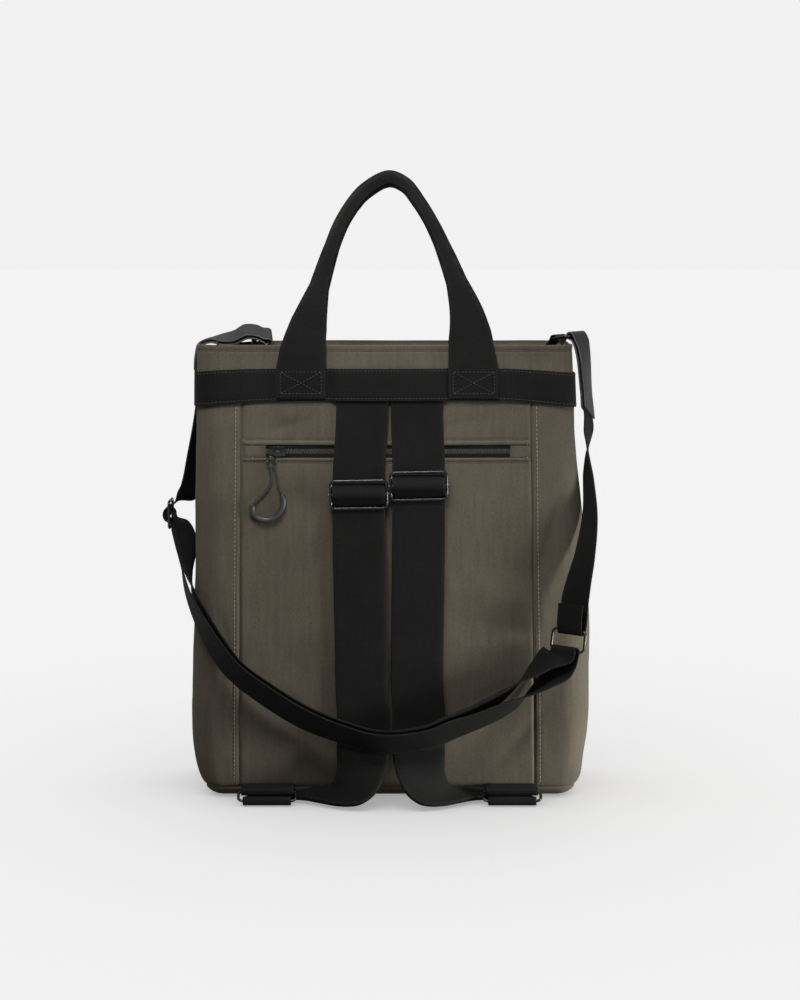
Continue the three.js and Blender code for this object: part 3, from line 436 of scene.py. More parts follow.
def leatherMaterial():
    material, nodes, links, shader = newMaterial("leather")
    uv = addNode(nodes, "ShaderNodeUVMap", uv_map="weave").outputs[0]
    pebbles = addNode(nodes, "ShaderNodeTexVoronoi", feature="SMOOTH_F1")
    pebbles.inputs["Scale"].default_value = leatherLook["grain"]
    links.new(uv, pebbles.inputs["Vector"])
    fine = noiseOf(nodes, links, uv, 1300, 3)
    grain = math2(nodes, links, "ADD", pebbles.outputs["Distance"],
                  math2(nodes, links, "MULTIPLY", fine, 0.35))
    tone = rampOf(nodes, links, grain, [(0.1, leatherLook["face"]), (0.8, leatherLook["crease"])])
    links.new(tone, shader.inputs["Base Color"])
    lowRough, highRough = leatherLook["roughness"]
    rough = rampOf(nodes, links, fine, [(0.2, (lowRough,) * 3), (0.8, (highRough,) * 3)])
    links.new(rough, shader.inputs["Roughness"])
    shader.inputs["Specular IOR Level"].default_value = 0.25
    lowered = math2(nodes, links, "MULTIPLY", grain, -1)
    setBump(nodes, links, shader, lowered, 0.00025, 0.6)
    return material


# A plain finish with a fine uneven surface: metal, moulded plastic, rubber, thread and cut edges
def plainMaterial(name, color, roughness, metallic=0.0, scale=900, depth=0.00005, spread=0.25):
    material, nodes, links, shader = newMaterial(name)
    place = addNode(nodes, "ShaderNodeTexCoord").outputs["Object"]
    fine = noiseOf(nodes, links, place, scale, 3)
    wide = noiseOf(nodes, links, place, 60, 2)
    low, high = (tuple(c * k for c in color) for k in (1 - spread, 1 + spread))
    links.new(rampOf(nodes, links, wide, [(0.3, low), (0.7, high)]), shader.inputs["Base Color"])
    lowRough, highRough = roughness * 0.85, min(roughness * 1.15, 1)
    rough = rampOf(nodes, links, fine, [(0.3, (lowRough,) * 3), (0.7, (highRough,) * 3)])
    links.new(rough, shader.inputs["Roughness"])
    shader.inputs["Metallic"].default_value = metallic
    setBump(nodes, links, shader, fine, depth, 0.5)
    return material


braidLook = {"dark": (0.003, 0.003, 0.003), "light": (0.012, 0.012, 0.0125), "strand": 0.0011, "slant": 45}


def braidMaterial():
    material, nodes, links, shader = newMaterial("braid")
    uv = addNode(nodes, "ShaderNodeUVMap", uv_map="weave").outputs[0]
    one = bands(nodes, links, uv, braidLook["strand"], braidLook["slant"])
    two = bands(nodes, links, uv, braidLook["strand"], -braidLook["slant"])
    weave = math2(nodes, links, "MAXIMUM", one, two)
    tone = rampOf(nodes, links, weave, [(0.3, braidLook["dark"]), (1.0, braidLook["light"])])
    links.new(tone, shader.inputs["Base Color"])
    shader.inputs["Roughness"].default_value = 0.7
    setBump(nodes, links, shader, weave, 0.0003, 0.8)
    return material


twill = twillMaterial()
webbing = webbingMaterial()
leather = leatherMaterial()
leatherEdge = plainMaterial("leather_cut_edge", (0.06, 0.059, 0.057), 0.8)
gunmetal = plainMaterial("gunmetal", (0.036, 0.037, 0.04), 0.28, 1.0, 1200, 0.00002, 0.12)
zipPlastic = plainMaterial("zip_plastic", (0.006, 0.006, 0.0065), 0.32)
rubber = plainMaterial("grip_rubber", (0.013, 0.0135, 0.015), 0.45, 0.0, 1500, 0.00006)
braid = braidMaterial()
# A copy of the seam thread darkened as painted shade, for the rows sunk in the cloth's pinch; the pale
# thread below is the thread's own colour
threadPaintedShade = plainMaterial("thread_painted_shade", (0.055, 0.046, 0.034), 0.7)
paleThread = plainMaterial("pale_thread", (0.26, 0.22, 0.16), 0.7)
blackThread = plainMaterial("black_thread", (0.003, 0.003, 0.003), 0.7)
print("materials made")


# Making meshes
def finished(name, bm, material, nodes=(), sharpAngle=50):
    mesh = bpy.data.meshes.new(name)
    bm.to_mesh(mesh)
    bm.free()
    for polygon in mesh.polygons:
        polygon.use_smooth = True
    mesh.set_sharp_from_angle(angle=math.radians(sharpAngle))
    piece = bpy.data.objects.new(name, mesh)
    bpy.context.scene.collection.objects.link(piece)
    for one in material if isinstance(material, (list, tuple)) else [material]:
        mesh.materials.append(one)
    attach(piece, "root")
    if nodes:
        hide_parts(*nodes)
    return piece


# A grid bent to shape: place gives each vertex's point in mm, and spread its uv in mm
def bentGrid(columns, rows, place, spread, edge=None):
    bm = bmesh.new()
    bmesh.ops.create_grid(bm, x_segments=len(columns) - 1, y_segments=len(rows) - 1, size=1)
    weave = bm.loops.layers.uv.new("weave")
    edgeMap = bm.loops.layers.uv.new("edge")
    low = min(v.co.x for v in bm.verts)
    width = -2 * low
    spots = {}
    for vert in bm.verts:
        i = round((vert.co.x - low) / width * (len(columns) - 1))
        j = round((vert.co.y - low) / width * (len(rows) - 1))
        spots[vert] = (i, j)
        vert.co = place(columns[i], rows[j]) * mm
    for face in bm.faces:
        for loop in face.loops:
            i, j = spots[loop.vert]
            u, v = spread(columns[i], rows[j])
            loop[weave].uv = (u * mm, v * mm)
            loop[edgeMap].uv = (edge(columns[i], rows[j]) * mm, 0) if edge else (1, 0)
    return bm, spots


def solidify(piece, thickness, offset=-1.0, softness=0.4):
    shell = piece.modifiers.new("wall", "SOLIDIFY")
    shell.thickness = thickness * mm
    shell.offset = offset
    shell.use_even_offset = True
    soft = piece.modifiers.new("soft edge", "BEVEL")
    soft.width = softness * mm
    soft.segments = 2
    soft.limit_method = "ANGLE"
    soft.angle_limit = math.radians(50)


# Even stops with finer ones near chosen places
def fineStops(start, end, coarse, places, fine=0.8, reach=4.0):
    stops = list(steps(start, end, round(abs(end - start) / coarse)))
    for place in places:
        stops += [place + k * fine for k in range(-round(reach / fine), round(reach / fine) + 1)]
    stops = sorted(s for s in stops if start <= s <= end)
    kept = [stops[0]]
    for stop in stops[1:]:
        if stop - kept[-1] >= fine * 0.6 or stop in places:
            kept.append(stop)
    kept[-1] = end
    return kept


# Fabric panels
seams = {"height": 360, "left": -134, "leftFlare": 4.5, "right": 128, "rightFlare": 6, "halfGap": 0.15,
         "roll": 1.3}
topstitch = {"fromSeam": 5, "belowRim": 5.5, "pinch": 0.4, "length": 3.1, "pitch": 3.9, "thread": 0.33,
             "from": 14, "to": 362, "sunk": -0.1}
pocket = {"left": -132, "right": 127.8, "low": 315.3, "high": 327, "tapeLeft": -112, "tapeRight": 109,
          "stitchAbove": 5, "stitchBelow": 4.2}


def seamLeft(z):
    return seams["left"] - seams["leftFlare"] * (1 - z / seams["height"])


def seamRight(z):
    return seams["right"] + seams["rightFlare"] * (1 - z / seams["height"])


# The cloth turns in at a seam, and is drawn in along a row of stitches
def seamRoll(distance):
    return -seams["roll"] * bump(distance, seams["roll"])


def stitchPinch(distance, along):
    pucker = 0.12 * math.sin(along * 2 * math.pi / topstitch["pitch"] / 2)
    return -topstitch["pinch"] * bump(distance, 0.9) + pucker * bump(distance, 4)


def outward(turn):
    angle = {0: -90, 2: 0, 4: 90, 6: 180}
    leg, f = int(turn) % 8, turn - int(turn)
    degrees = angle[leg] if leg in angle else {1: -90, 3: 0, 5: 90, 7: 180}[leg] + 90 * f
    return Vector((math.cos(math.radians(degrees)), math.sin(math.radians(degrees)), 0))


clothSwell = {"wide": (34, 0.55), "fine": (12, 0.16), "apart": Vector((90, 0, 0))}  # size and depth of each


def clothPoint(turn, z, lift=0.0):
    point = bodyPoint(turn, z, 0, True)
    swell = cloth(point, *clothSwell["wide"]) + cloth(point + clothSwell["apart"], *clothSwell["fine"])
    return point + outward(turn) * (swell + lift)


panelRange = (10.15, 377.7)
nearSeam = (0.6, 1.2, 1.8)  # finer columns beside a seam


def frontPanel():
    mid = (pocket["low"] + pocket["high"]) / 2
    width = seamRight(mid) - seamLeft(mid)
    places = [pocket["left"], pocket["right"]]
    xStops = fineStops(seamLeft(mid) + seams["halfGap"], seamRight(mid) - seams["halfGap"], 3, places)
    xStops = sorted(set(xStops + [xStops[0] + k for k in nearSeam] + [xStops[-1] - k for k in nearSeam]))
    stitchRows = [pocket["low"] - pocket["stitchBelow"], pocket["high"] + pocket["stitchAbove"]]
    zPlaces = [pocket["low"], pocket["high"], *stitchRows]
    zStops = fineStops(*panelRange, 3, zPlaces, 0.8, 3)

    def place(x, z):
        share = (x - seamLeft(mid)) / width
        there = lerp(seamLeft(z), seamRight(z), share)
        fromSeam = min(x - xStops[0], xStops[-1] - x)
        lift = seamRoll(fromSeam) + seamRoll(z - panelRange[0])
        lift += sum(stitchPinch(z - row, x) for row in stitchRows)
        lip = max(bump(z - pocket["high"] - 1.6, 2), bump(z - pocket["low"] + 1.4, 1.8))
        lift += 0.9 * lip * smoothStep(fromSeam, 0, 4)
        return clothPoint(turnAt(there, z), z, lift)

    bm, _ = bentGrid(xStops, zStops, place, lambda x, z: (x, z))
    inner = []
    for face in bm.faces:
        centre = face.calc_center_median() / mm
        if pocket["low"] < centre.z < pocket["high"] and pocket["left"] < centre.x < pocket["right"]:
            inner.append(face)
    bmesh.ops.delete(bm, geom=inner, context="FACES")
    solidify(finished("frontPanel", bm, twill, ["front_panel"]), body["wall"])


# Columns of a panel that runs round corners: (span, share) pairs between turns that may change with height
def wrapPanel(name, node, limits, counts, stitchAt):
    columns = []
    for span, count in enumerate(counts):
        shares = steps(0, 1, count)[: None if span == len(counts) - 1 else -1]
        if span == 0:
            shares = sorted(set([0, 0.015, 0.03, 0.05, *shares]))
        if span == len(counts) - 1:
            shares = sorted(set([*shares, 0.95, 0.97, 0.985]))
        columns += [(span, share) for share in shares]
    zStops = fineStops(*panelRange, 3, [panelRange[0]], 0.6, 3)

    def turnOf(column, z):
        span, share = column
        ends = limits(z)
        return lerp(ends[span], ends[span + 1], share)

    middle = 200  # the columns are spaced by the panel's width at this height
    run = {}
    last, total = None, 0
    for column in columns:
        point = bodyPoint(turnOf(column, middle), middle)
        total += 0 if last is None else (point - last).length
        run[column] = total
        last = point
    stitches = [stitchAt, total - stitchAt]

    def place(column, z):
        fromSeam = min(run[column], total - run[column])
        lift = seamRoll(fromSeam) + seamRoll(z - panelRange[0])
        lift += sum(stitchPinch(run[column] - s, z) for s in stitches)
        return clothPoint(turnOf(column, z), z, lift)

    bm, _ = bentGrid(columns, zStops, place, lambda column, z: (run[column], z))
    solidify(finished(name, bm, twill, [node]), body["wall"])


def sidePanels():
    half = seams["halfGap"]
    back = body["seamBack"]

    def right(z):
        return [turnAt(seamRight(z) + half, z), 1, 2, 3, 4, turnAt(back + half, z, True)]

    def left(z):
        return [turnAt(-back - half, z, True), 5, 6, 7, 8, 8 + turnAt(seamLeft(z) - half, z)]

    counts = [16, 16, 22, 16, 14]
    wrapPanel("sidePanelRight", "side_panel_right", right, counts, topstitch["fromSeam"])
    wrapPanel("sidePanelLeft", "side_panel_left", left, counts[::-1], topstitch["fromSeam"])

    def rear(z):
        return [turnAt(back - half, z, True), turnAt(-back + half, z, True)]

    wrapPanel("backPanel", "back_panel", rear, [84], topstitch["fromSeam"])


ringCounts = [110, 14, 24, 14, 84, 14, 24, 14]
ringTurns = [leg + share for leg, count in enumerate(ringCounts) for share in steps(0, 1, count)[:-1]] + [8]
mouthDip = {"x": -175, "y": 42, "reach": 32, "depth": 6}
runHeight = 380  # the way round the body is measured at this height


@lru_cache(maxsize=4096)
def roundRun(turn):
    spots = [t for t in ringTurns if t <= turn]
    return sum((bodyPoint(b, runHeight) - bodyPoint(a, runHeight)).length for a, b in zip(spots, spots[1:]))


# The turn at which a run round the body is reached
def turnOfRun(run):
    runs = [(roundRun(t), t) for t in ringTurns]
    k = next((i for i, (r, _) in enumerate(runs) if r >= run), len(runs) - 1)
    (r0, t0), (r1, t1) = runs[max(k - 1, 0)], runs[max(k, 1)]
    return lerp(t0, t1, clamp((run - r0) / (r1 - r0)))


def dipAt(point, z):
    rise = clamp((z - body["facingFrom"]) / (body["rim"] - body["facingFrom"]))
    away = math.hypot(point.x - mouthDip["x"], point.y - mouthDip["y"])
    return mouthDip["depth"] * rise * bump(away, mouthDip["reach"])


def rimFacing():
    row = body["rim"] - topstitch["belowRim"]
    zStops = fineStops(body["facingFrom"], body["rim"], 2.5, [row, body["rim"]], 0.7, 3)

    def place(turn, z):
        lift = stitchPinch(z - row, roundRun(turn)) + 0.5 * bump(z - body["rim"] + 1.5, 2.4)
        point = clothPoint(turn, z, lift)
        point.z -= dipAt(point, z) + 0.5 * cloth(point, 40, 1) * smoothStep(z, 396, body["rim"])
        return point

    bm, _ = bentGrid(ringTurns, zStops, place, lambda turn, z: (roundRun(turn), z))
    bmesh.ops.remove_doubles(bm, verts=bm.verts, dist=1e-6)
    solidify(finished("rimFacing", bm, twill, ["rim_facing"]), body["wall"], -1, 0.8)


def basePanel():
    rings = table(
        "z inset",
        [(9.85, 0), (9, 0.4), (7.6, 1.2), (5.5, 3), (3.4, 5.8), (1.8, 9), (0.6, 13), (0, 18)],
    )

    def place(turn, row):
        inset, z = rings[row]["inset"], rings[row]["z"]
        point = bodyPoint(turn, body["seamHeight"], inset)
        point.z = z
        return point + outward(turn) * (seamRoll(body["seamHeight"] - z) * 0.8)

    def spread(turn, row):
        return (roundRun(turn), rings[row]["inset"])

    bm, _ = bentGrid(ringTurns, list(range(len(rings))), place, spread)
    bmesh.ops.remove_doubles(bm, verts=bm.verts, dist=1e-6)
    bmesh.ops.reverse_faces(bm, faces=bm.faces)
    low = [e for e in bm.edges if e.is_boundary and e.verts[0].co.z < 0.3 * mm]
    bmesh.ops.holes_fill(bm, edges=low, sides=0)
    bmesh.ops.recalc_face_normals(bm, faces=bm.faces)
    solidify(finished("basePanel", bm, twill, ["base_panel"]), body["wall"])


frontPanel()
sidePanels()
rimFacing()
basePanel()
print("fabric panels made")


# Webbing band
band = {
    "thick": 1.8,
    "gap": 0.4,
    "height": 29.5,
    "rises": [0, 0.03, 0.07, 0.1, 0.2, 0.35, 0.5, 0.65, 0.8, 0.9, 0.93, 0.97, 1],
    "stitchRises": (0.075, 0.925),
}
bandEdge = table(
    "x top low",
    [
        (-180, 392, 360.5),
        (-150, 394.5, 363.5),
        (-100, 395.8, 366.3),
        (0, 395.8, 366.8),
        (100, 395.8, 366.8),
        (145, 393.5, 363),
        (175, 390.5, 359),
    ],
)
bandLift = {"from": 49.4, "to": 52.4, "over": 2.5}


def bandPoint(turn, rise, proud):
    x = bodyPoint(turn, body["facingFrom"]).x
    low, top = smoothAt(bandEdge, "x", x, "low"), smoothAt(bandEdge, "x", x, "top")
    lifted = 1 - smoothStep(abs(x), bandLift["from"], bandLift["to"]) if turn < 1 else 0
    z = lerp(low, top, rise)
    point = bodyPoint(turn, z, -(band["gap"] + proud + bandLift["over"] * lifted))
    return point + outward(turn) * (0.25 * cloth(point, 30, 1))


def topBand():
    height = band["height"]

    def place(turn, rise):
        edge = min(rise, 1 - rise) * height
        return bandPoint(turn, rise, band["thick"] - 0.35 * bump(edge - 2, 0.7))

    bm, _ = bentGrid(ringTurns, band["rises"], place, lambda turn, rise: (rise * height, roundRun(turn)),
                     lambda turn, rise: min(rise, 1 - rise) * height)
    bmesh.ops.remove_doubles(bm, verts=bm.verts, dist=1e-6)
    solidify(finished("topBand", bm, webbing, ["top_band"]), band["thick"])


topBand()


# Strips of webbing and leather, and round wires
strap = {"width": 48, "thick": 1.8, "ply": 2.25}
shoulder = {"width": 30, "gathered": 27, "thick": 1.6}
wire = {"thick": 2.6, "sides": 12, "corner": 4}
turnGap = 0.45  # between a strip and the wire that it turns round


def station(at, across, width, thick):
    return {"at": Vector(at), "across": Vector(across).normalized(), "width": width, "thick": thick}


def shifted(stations, amount):
    path = SmoothPath([s["at"] for s in stations])
    moved = []
    for i, s in enumerate(stations):
        out = path.tangent(i / (len(stations) - 1)).cross(s["across"]).normalized()
        moved.append({**s, "at": s["at"] + out * amount})
    return moved


def turnRadius(thick):
    return wire["thick"] * math.sqrt(0.5) + turnGap + thick / 2


# Half a turn round a bar; flip swaps the side on which the strip comes in
def halfTurn(bar, along, away, radius, width, thick, flip=1):
    along = Vector(along)
    ahead = (Vector(away) - along * (Vector(away).dot(along) / along.length_squared)).normalized()
    out = ahead.cross(along).normalized() * flip
    turned = []
    for degrees in (-90, -45, 0, 45, 90):
        a = math.radians(degrees)
        at = Vector(bar) + ahead * (radius * math.cos(a)) - out * (radius * math.sin(a))
        turned.append(station(at, along, width, thick))
    return turned


# Outline of a strip's section, from one edge over the front face and back:
# share of the width, share of the thickness, and how far out on the rounded edge
def stripOutline(flats, arcs):
    outline = [(share, 1, 0) for share in steps(1, -1, flats)]
    outline += [(-1, math.cos(a), math.sin(a)) for a in steps(0, math.pi, arcs)[1:-1]]
    outline += [(share, -1, 0) for share in steps(-1, 1, flats)]
    outline += [(1, -math.cos(a), math.sin(a)) for a in steps(0, math.pi, arcs)[1:-1]]
    return outline + outline[:1]


# Sections along a strip: centre, across, out, width, thick and run, close enough to look smooth
def stripSections(stations, spacing):
    path = SmoothPath([s["at"] for s in stations])
    spans = len(stations) - 1
    crossing = SmoothPath([s["across"] * 10 for s in stations])
    made = []
    for span in range(spans):
        a, b = stations[span], stations[span + 1]
        cuts = max(2, math.ceil((b["at"] - a["at"]).length / spacing),
                   math.ceil(math.degrees(a["across"].angle(b["across"])) / 5))
        for i in range(cuts + (1 if span == spans - 1 else 0)):
            f = i / cuts
            t = (span + f) / spans
            across = crossing.point(t).normalized()
            tangent = path.tangent(t)
            out = tangent.cross(across).normalized()
            made.append({
                "at": path.point(t), "across": across, "out": out, "width": lerp(a["width"], b["width"], f),
                "thick": lerp(a["thick"], b["thick"], f),
            })
    run = 0
    for i, s in enumerate(made):
        run += (s["at"] - made[i - 1]["at"]).length if i else 0
        s["run"] = run
    return made


def stripMesh(stations, spacing=3.0, flats=8, arcs=4, roundness=0.5, relief=None):
    cut = stripSections(stations, spacing)
    outline = stripOutline(flats, arcs)

    def place(column, row):
        share, face, side = outline[column]
        s = cut[row]
        half = s["thick"] / 2
        r = min(roundness * s["thick"], s["width"] / 4)
        inner = s["width"] / 2 - r
        across = share * inner + math.copysign(r * side, share)
        lift = relief(share * inner, face, s) if relief and side == 0 else 0
        return s["at"] + s["across"] * across + s["out"] * (half * face + lift)

    def spread(column, row):
        share, face, side = outline[column]
        return (share * cut[row]["width"] / 2, cut[row]["run"])

    def edge(column, row):
        return (1 - abs(outline[column][0])) * cut[row]["width"] / 2

    bm, spots = bentGrid(list(range(len(outline))), list(range(len(cut))), place, spread, edge)
    bm.verts.ensure_lookup_table()
    rim = [f for f in bm.faces if all(abs(outline[spots[v][0]][0]) == 1 for v in f.verts)]
    for face in rim:
        face.material_index = 1
    bmesh.ops.remove_doubles(bm, verts=bm.verts, dist=1e-6)
    ends = [e for e in bm.edges if e.is_boundary]
    capped = bmesh.ops.holes_fill(bm, edges=ends, sides=0)["faces"]
    for face in capped:
        face.material_index = 1
    bmesh.ops.recalc_face_normals(bm, faces=bm.faces)
    return bm, cut


def strip(name, stations, materials, slot, nodes, **settings):
    bm, cut = stripMesh(stations, **settings)
    finished(name, bm, materials, nodes, 60)
    return cut


# Round wire or cord along points, in a plane whose normal is given, closed or with capped ends
def tubeMesh(points, radius, normal, closed=False, sides=12):
    count = len(points)
    rows = list(range(count + 1 if closed else count))
    angles = list(range(sides + 1))
    run = [0]
    for i in rows[1:]:
        run.append(run[-1] + (points[i % count] - points[i - 1]).length)

    def place(k, i):
        here = points[i % count]
        before = points[(i - 1) % count] if closed or i > 0 else here
        after = points[(i + 1) % count] if closed or i < count - 1 else here
        side = (after - before).normalized().cross(normal).normalized()
        up = side.cross((after - before).normalized())
        a = 2 * math.pi * k / sides
        return here + side * (radius * math.cos(a)) + up * (radius * math.sin(a))

    bm, _ = bentGrid(angles, rows, place, lambda k, i: (2 * math.pi * radius * k / sides, run[i]))
    bmesh.ops.remove_doubles(bm, verts=bm.verts, dist=1e-6)
    if not closed:
        bmesh.ops.holes_fill(bm, edges=[e for e in bm.edges if e.is_boundary], sides=0)
    bmesh.ops.recalc_face_normals(bm, faces=bm.faces)
    return bm


# Several meshes as one
def joined(meshes):
    whole = bmesh.new()
    for bm in meshes:
        part = bpy.data.meshes.new("part")
        bm.to_mesh(part)
        bm.free()
        whole.from_mesh(part)
        bpy.data.meshes.remove(part)
    return whole


# Flat frame of round wire: long and short are its outer sizes, and bars cross it at the given heights
def wireFrame(name, node, centre, longWay, shortWay, long, short, bars=(), pin=None):
    x = Vector(longWay).normalized()
    z = x.cross(Vector(shortWay)).normalized()
    y = z.cross(x)
    r = wire["thick"] / 2
    halfLong, halfShort, corner = long / 2 - r, short / 2 - r, wire["corner"]
    points = []
    for cx, cy, start in ((1, 1, 0), (-1, 1, 90), (-1, -1, 180), (1, -1, 270)):
        for degrees in steps(start, start + 90, 6):
            a = math.radians(degrees)
            points.append((cx * (halfLong - corner) + corner * math.cos(a),
                           cy * (halfShort - corner) + corner * math.sin(a)))
    path = [Vector(centre) + x * px + y * py for px, py in points]
    meshes = [tubeMesh(path, r, z, True, wire["sides"])]
    for height in bars:
        ends = [Vector(centre) + x * (k * halfLong) + y * height for k in (-1, -0.5, 0, 0.5, 1)]
        meshes.append(tubeMesh(ends, r * 0.92, z, False, wire["sides"]))
    if pin:
        ends = [Vector(centre) + x * (k * pin["long"] / 2) for k in (-1, -0.97, 0.97, 1)]
        meshes.append(tubeMesh(ends, pin["radius"], z, False, wire["sides"]))
    finished(name, joined(meshes), gunmetal, [node], 60)


# Carry handles: flat where they are sewn on, folded double along the grip
handleSewn = {"to": 396, "over": 1.2, "lift": 0.3}
handleFold = {"from": 2.2, "full": 6, "slit": 0.34, "slitWidth": 1.6, "offset": 0.12, "crown": 0.12}
handleSides = (("handleFront", "handle_front", -1, 1), ("handleBack", "handle_back", 1, 1.06))
handleRows = table(
    "x z lean width thick",
    [
        (-80, 369.5, 0, 45, 1.8),
        (-79.8, 396, 0, 45, 1.8),
        (-77.5, 414, 1.2, 41, 2),
        (-73, 434, 4.5, 34, 3),
        (-63.5, 468, 12, 18.5, 6),
        (-51.5, 506, 23, 14, 7.5),
        (-43, 527, 30, 14, 8),
        (-32.5, 544, 36, 14.5, 8),
        (-21, 556.5, 41, 15, 8),
        (-0.5, 567.2, 46, 15, 8),
        (14.5, 561, 44, 14, 8),
        (25.5, 547, 38, 13, 8),
        (36.5, 529, 31, 12.5, 8),
        (46.5, 508, 24, 13.5, 7.5),
        (60, 473.4, 13, 18.5, 6),
        (69, 445, 6.5, 30, 3.4),
        (72.5, 424, 3, 39, 2.2),
        (74.8, 404, 0.6, 43.5, 1.8),
        (75.6, 396, 0, 45, 1.8),
        (76, 369.5, 0, 45, 1.8),
    ],
)


def handleStations(side, spreadOut):
    proud = band["gap"] + band["thick"] + handleSewn["lift"] + handleSewn["over"]
    onFace = onFront if side < 0 else onBack
    points = []
    for row in handleRows:
        x = row["x"] * spreadOut
        face = onFace(x, min(row["z"], handleSewn["to"]), proud).y
        points.append(Vector((x, face - side * row["lean"], row["z"])))
    path = SmoothPath(points)
    made = []
    for i, row in enumerate(handleRows):
        across = Vector((0, side, 0)).cross(path.tangent(i / (len(points) - 1)))
        if row["z"] <= handleSewn["to"]:
            half = row["width"] / 2
            chord = onFace(points[i].x + half, row["z"]) - onFace(points[i].x - half, row["z"])
            across = chord * (1 if chord.dot(across) > 0 else -1)
        made.append(station(points[i], across, row["width"], row["thick"]))
    return made


def makeHandle(name, node, side, spreadOut):
    # the folded edges meet in a slit along the inner face
    def relief(x, face, s):
        folded = smoothStep(s["thick"], handleFold["from"], handleFold["full"])
        depth = folded * handleFold["slit"] * s["thick"] if face < 0 else 0
        slit = depth * bump(x + handleFold["offset"] * s["width"], handleFold["slitWidth"])
        crown = folded * face * handleFold["crown"] * s["thick"] * (1 - (2 * x / s["width"]) ** 2)
        return crown + slit

    strip(name, handleStations(side, spreadOut), webbing, "webbing", [node],
          spacing=4, flats=14, arcs=6, roundness=0.45, relief=relief)


for handle in handleSides:
    makeHandle(*handle)
print("band and handles made")

# Backpack straps: one strip each, from the band over the slider's bar, down, round the anchor ring and back
strapSides = table(
    "name sign top sliderX low foot sliderZ tilt",
    [
        ("left", -1, -24.5, -27.7, -25.2, -24, 283, 0.018),
        ("right", 1, 24.8, 26.5, 24.9, 26.5, 290.8, 0.02),
    ],
)
sliderProud = 6.8
lay = strap["thick"] / 2 + 0.6
outerLay = lay + strap["ply"]
rollRows = table(
    "x y z ax ay az width",
    [
        (-24, -71.0, 84, 1, 0, 0, 48),
        (-24, -73.4, 62, 1, -0.02, 0, 48),
        (-24.4, -79.5, 45, 0.98, -0.12, -0.04, 48),
        (-26.5, -88, 31, 0.9, -0.36, -0.14, 46),
        (-31.5, -93.8, 19.5, 0.78, -0.56, -0.22, 44),
        (-40, -94.5, 12.2, 0.58, -0.74, -0.26, 42),
        (-52, -88.5, 9.4, 0.3, -0.9, -0.28, 35),
        (-67, -79.5, 7.8, 0.12, -0.95, -0.2, 28),
        (-82, -73.6, 5.4, 0.35, -0.92, -0.02, 22),
        (-96, -72, 4.6, 0.78, -0.63, 0, 24),
        (-108, -75.6, 4.6, 0.98, -0.18, 0, 36),
        (-111.5, -81, 4.7, 1, 0, 0, 43),
        (-111.5, -86, 4.6, 1, 0, 0, 44),
    ],
)
anchor = {"x": 111.5, "barY": -90, "barZ": 4.7, "topY": -81.3, "topZ": 11.6, "long": 55,
          "strapWidth": 44, "shift": 2.5, "shiftOver": 40}
anchorLegs = {"ends": (-61.4, -70), "lower": (-1.1, -2.4), "upper": (1.3, 2.2)}  # y, and rises from the ring
sliderFrame = {"long": 53.2, "short": 27.5, "pin": {"radius": 1, "long": 55.2}, "play": 0.6}
strapTops = [385, 350]
faceHeights = [240, 190, 140, 108]
strapShift = {"beside": 10, "top": 357, "foot": 90}  # heights between which the straps draw sideways
overSlider = table(
    "rise proud",
    [
        (30, lay),
        (16, lay + 0.2),
        (10, lay + 1),
        (6.2, sliderProud + 0.8),
        (2.6, sliderProud + 5.2),
        (-2.6, sliderProud + 5.2),
        (-6.2, sliderProud + 0.9),
        (-10.2, outerLay + 0.3),
        (-16, outerLay),
    ],
)
roundBar = table(
    "rise proud",
    [
        (-16, lay),
        (-9, lay),
        (-4.5, lay + 0.9),
        (-1.4, sliderProud - 3.1),
        (2.3, sliderProud - 2.6),
        (3.4, sliderProud),
        (2.3, sliderProud + 2.6),
        (-1, sliderProud + 3.1),
    ],
)


def faceStation(side, z, proud, width=strap["width"]):
    beside = strapShift["beside"]
    rise = smoothStep(z, side["sliderZ"] + beside, strapShift["top"])
    fall = 1 - smoothStep(z, strapShift["foot"], side["sliderZ"] - beside)
    above = lerp(side["sliderX"], side["top"], rise)
    x = lerp(above, side["low"], fall if z < side["sliderZ"] - beside else 0)
    chord = onFront(x + width / 2, z) - onFront(x - width / 2, z)
    return station(onFront(x, z, proud), chord, width, strap["thick"])


def makeBackpackStrap(side):
    narrow = strap["width"] - sliderFrame["play"]
    near = [faceStation(side, side["sliderZ"] + row["rise"], row["proud"], narrow) for row in overSlider]
    barPart = [faceStation(side, side["sliderZ"] + row["rise"], row["proud"], narrow) for row in roundBar]
    down = [faceStation(side, z, lay, narrow) for z in strapTops] + near
    down += [faceStation(side, z, outerLay) for z in faceHeights]
    up = [faceStation(side, z, lay) for z in reversed(faceHeights)] + barPart
    leftFoot = strapSides[0]["foot"]

    def mirrored(x, shift):
        return side["foot"] - (x - leftFoot) - shift

    roll = []
    for row in rollRows:
        free = clamp(abs(row["x"] - leftFoot) / anchor["shiftOver"])
        x = row["x"] if side["sign"] < 0 else mirrored(row["x"], anchor["shift"] * free)
        k = -side["sign"]
        across = (row["ax"], k * row["ay"], k * row["az"])
        roll.append(station((x, row["y"], row["z"]), across, row["width"], strap["thick"]))
    anchorX = -anchor["x"] if side["sign"] < 0 else mirrored(-anchor["x"], anchor["shift"])
    loop = halfTurn((anchorX, anchor["barY"], anchor["barZ"]), (1, 0, 0), (0, -1, 0),
                    turnRadius(strap["thick"]), anchor["strapWidth"], strap["thick"])
    outgoing = shifted(roll, strap["ply"] / 2)
    returning = shifted(roll, -strap["ply"] / 2)[::-1]
    stations = down + outgoing + loop + returning + up
    strip("backpackStrap" + side["name"].title(), stations, webbing, "webbing",
          ["backpack_strap_" + side["name"]], spacing=4, flats=10, arcs=4)
    return anchorX


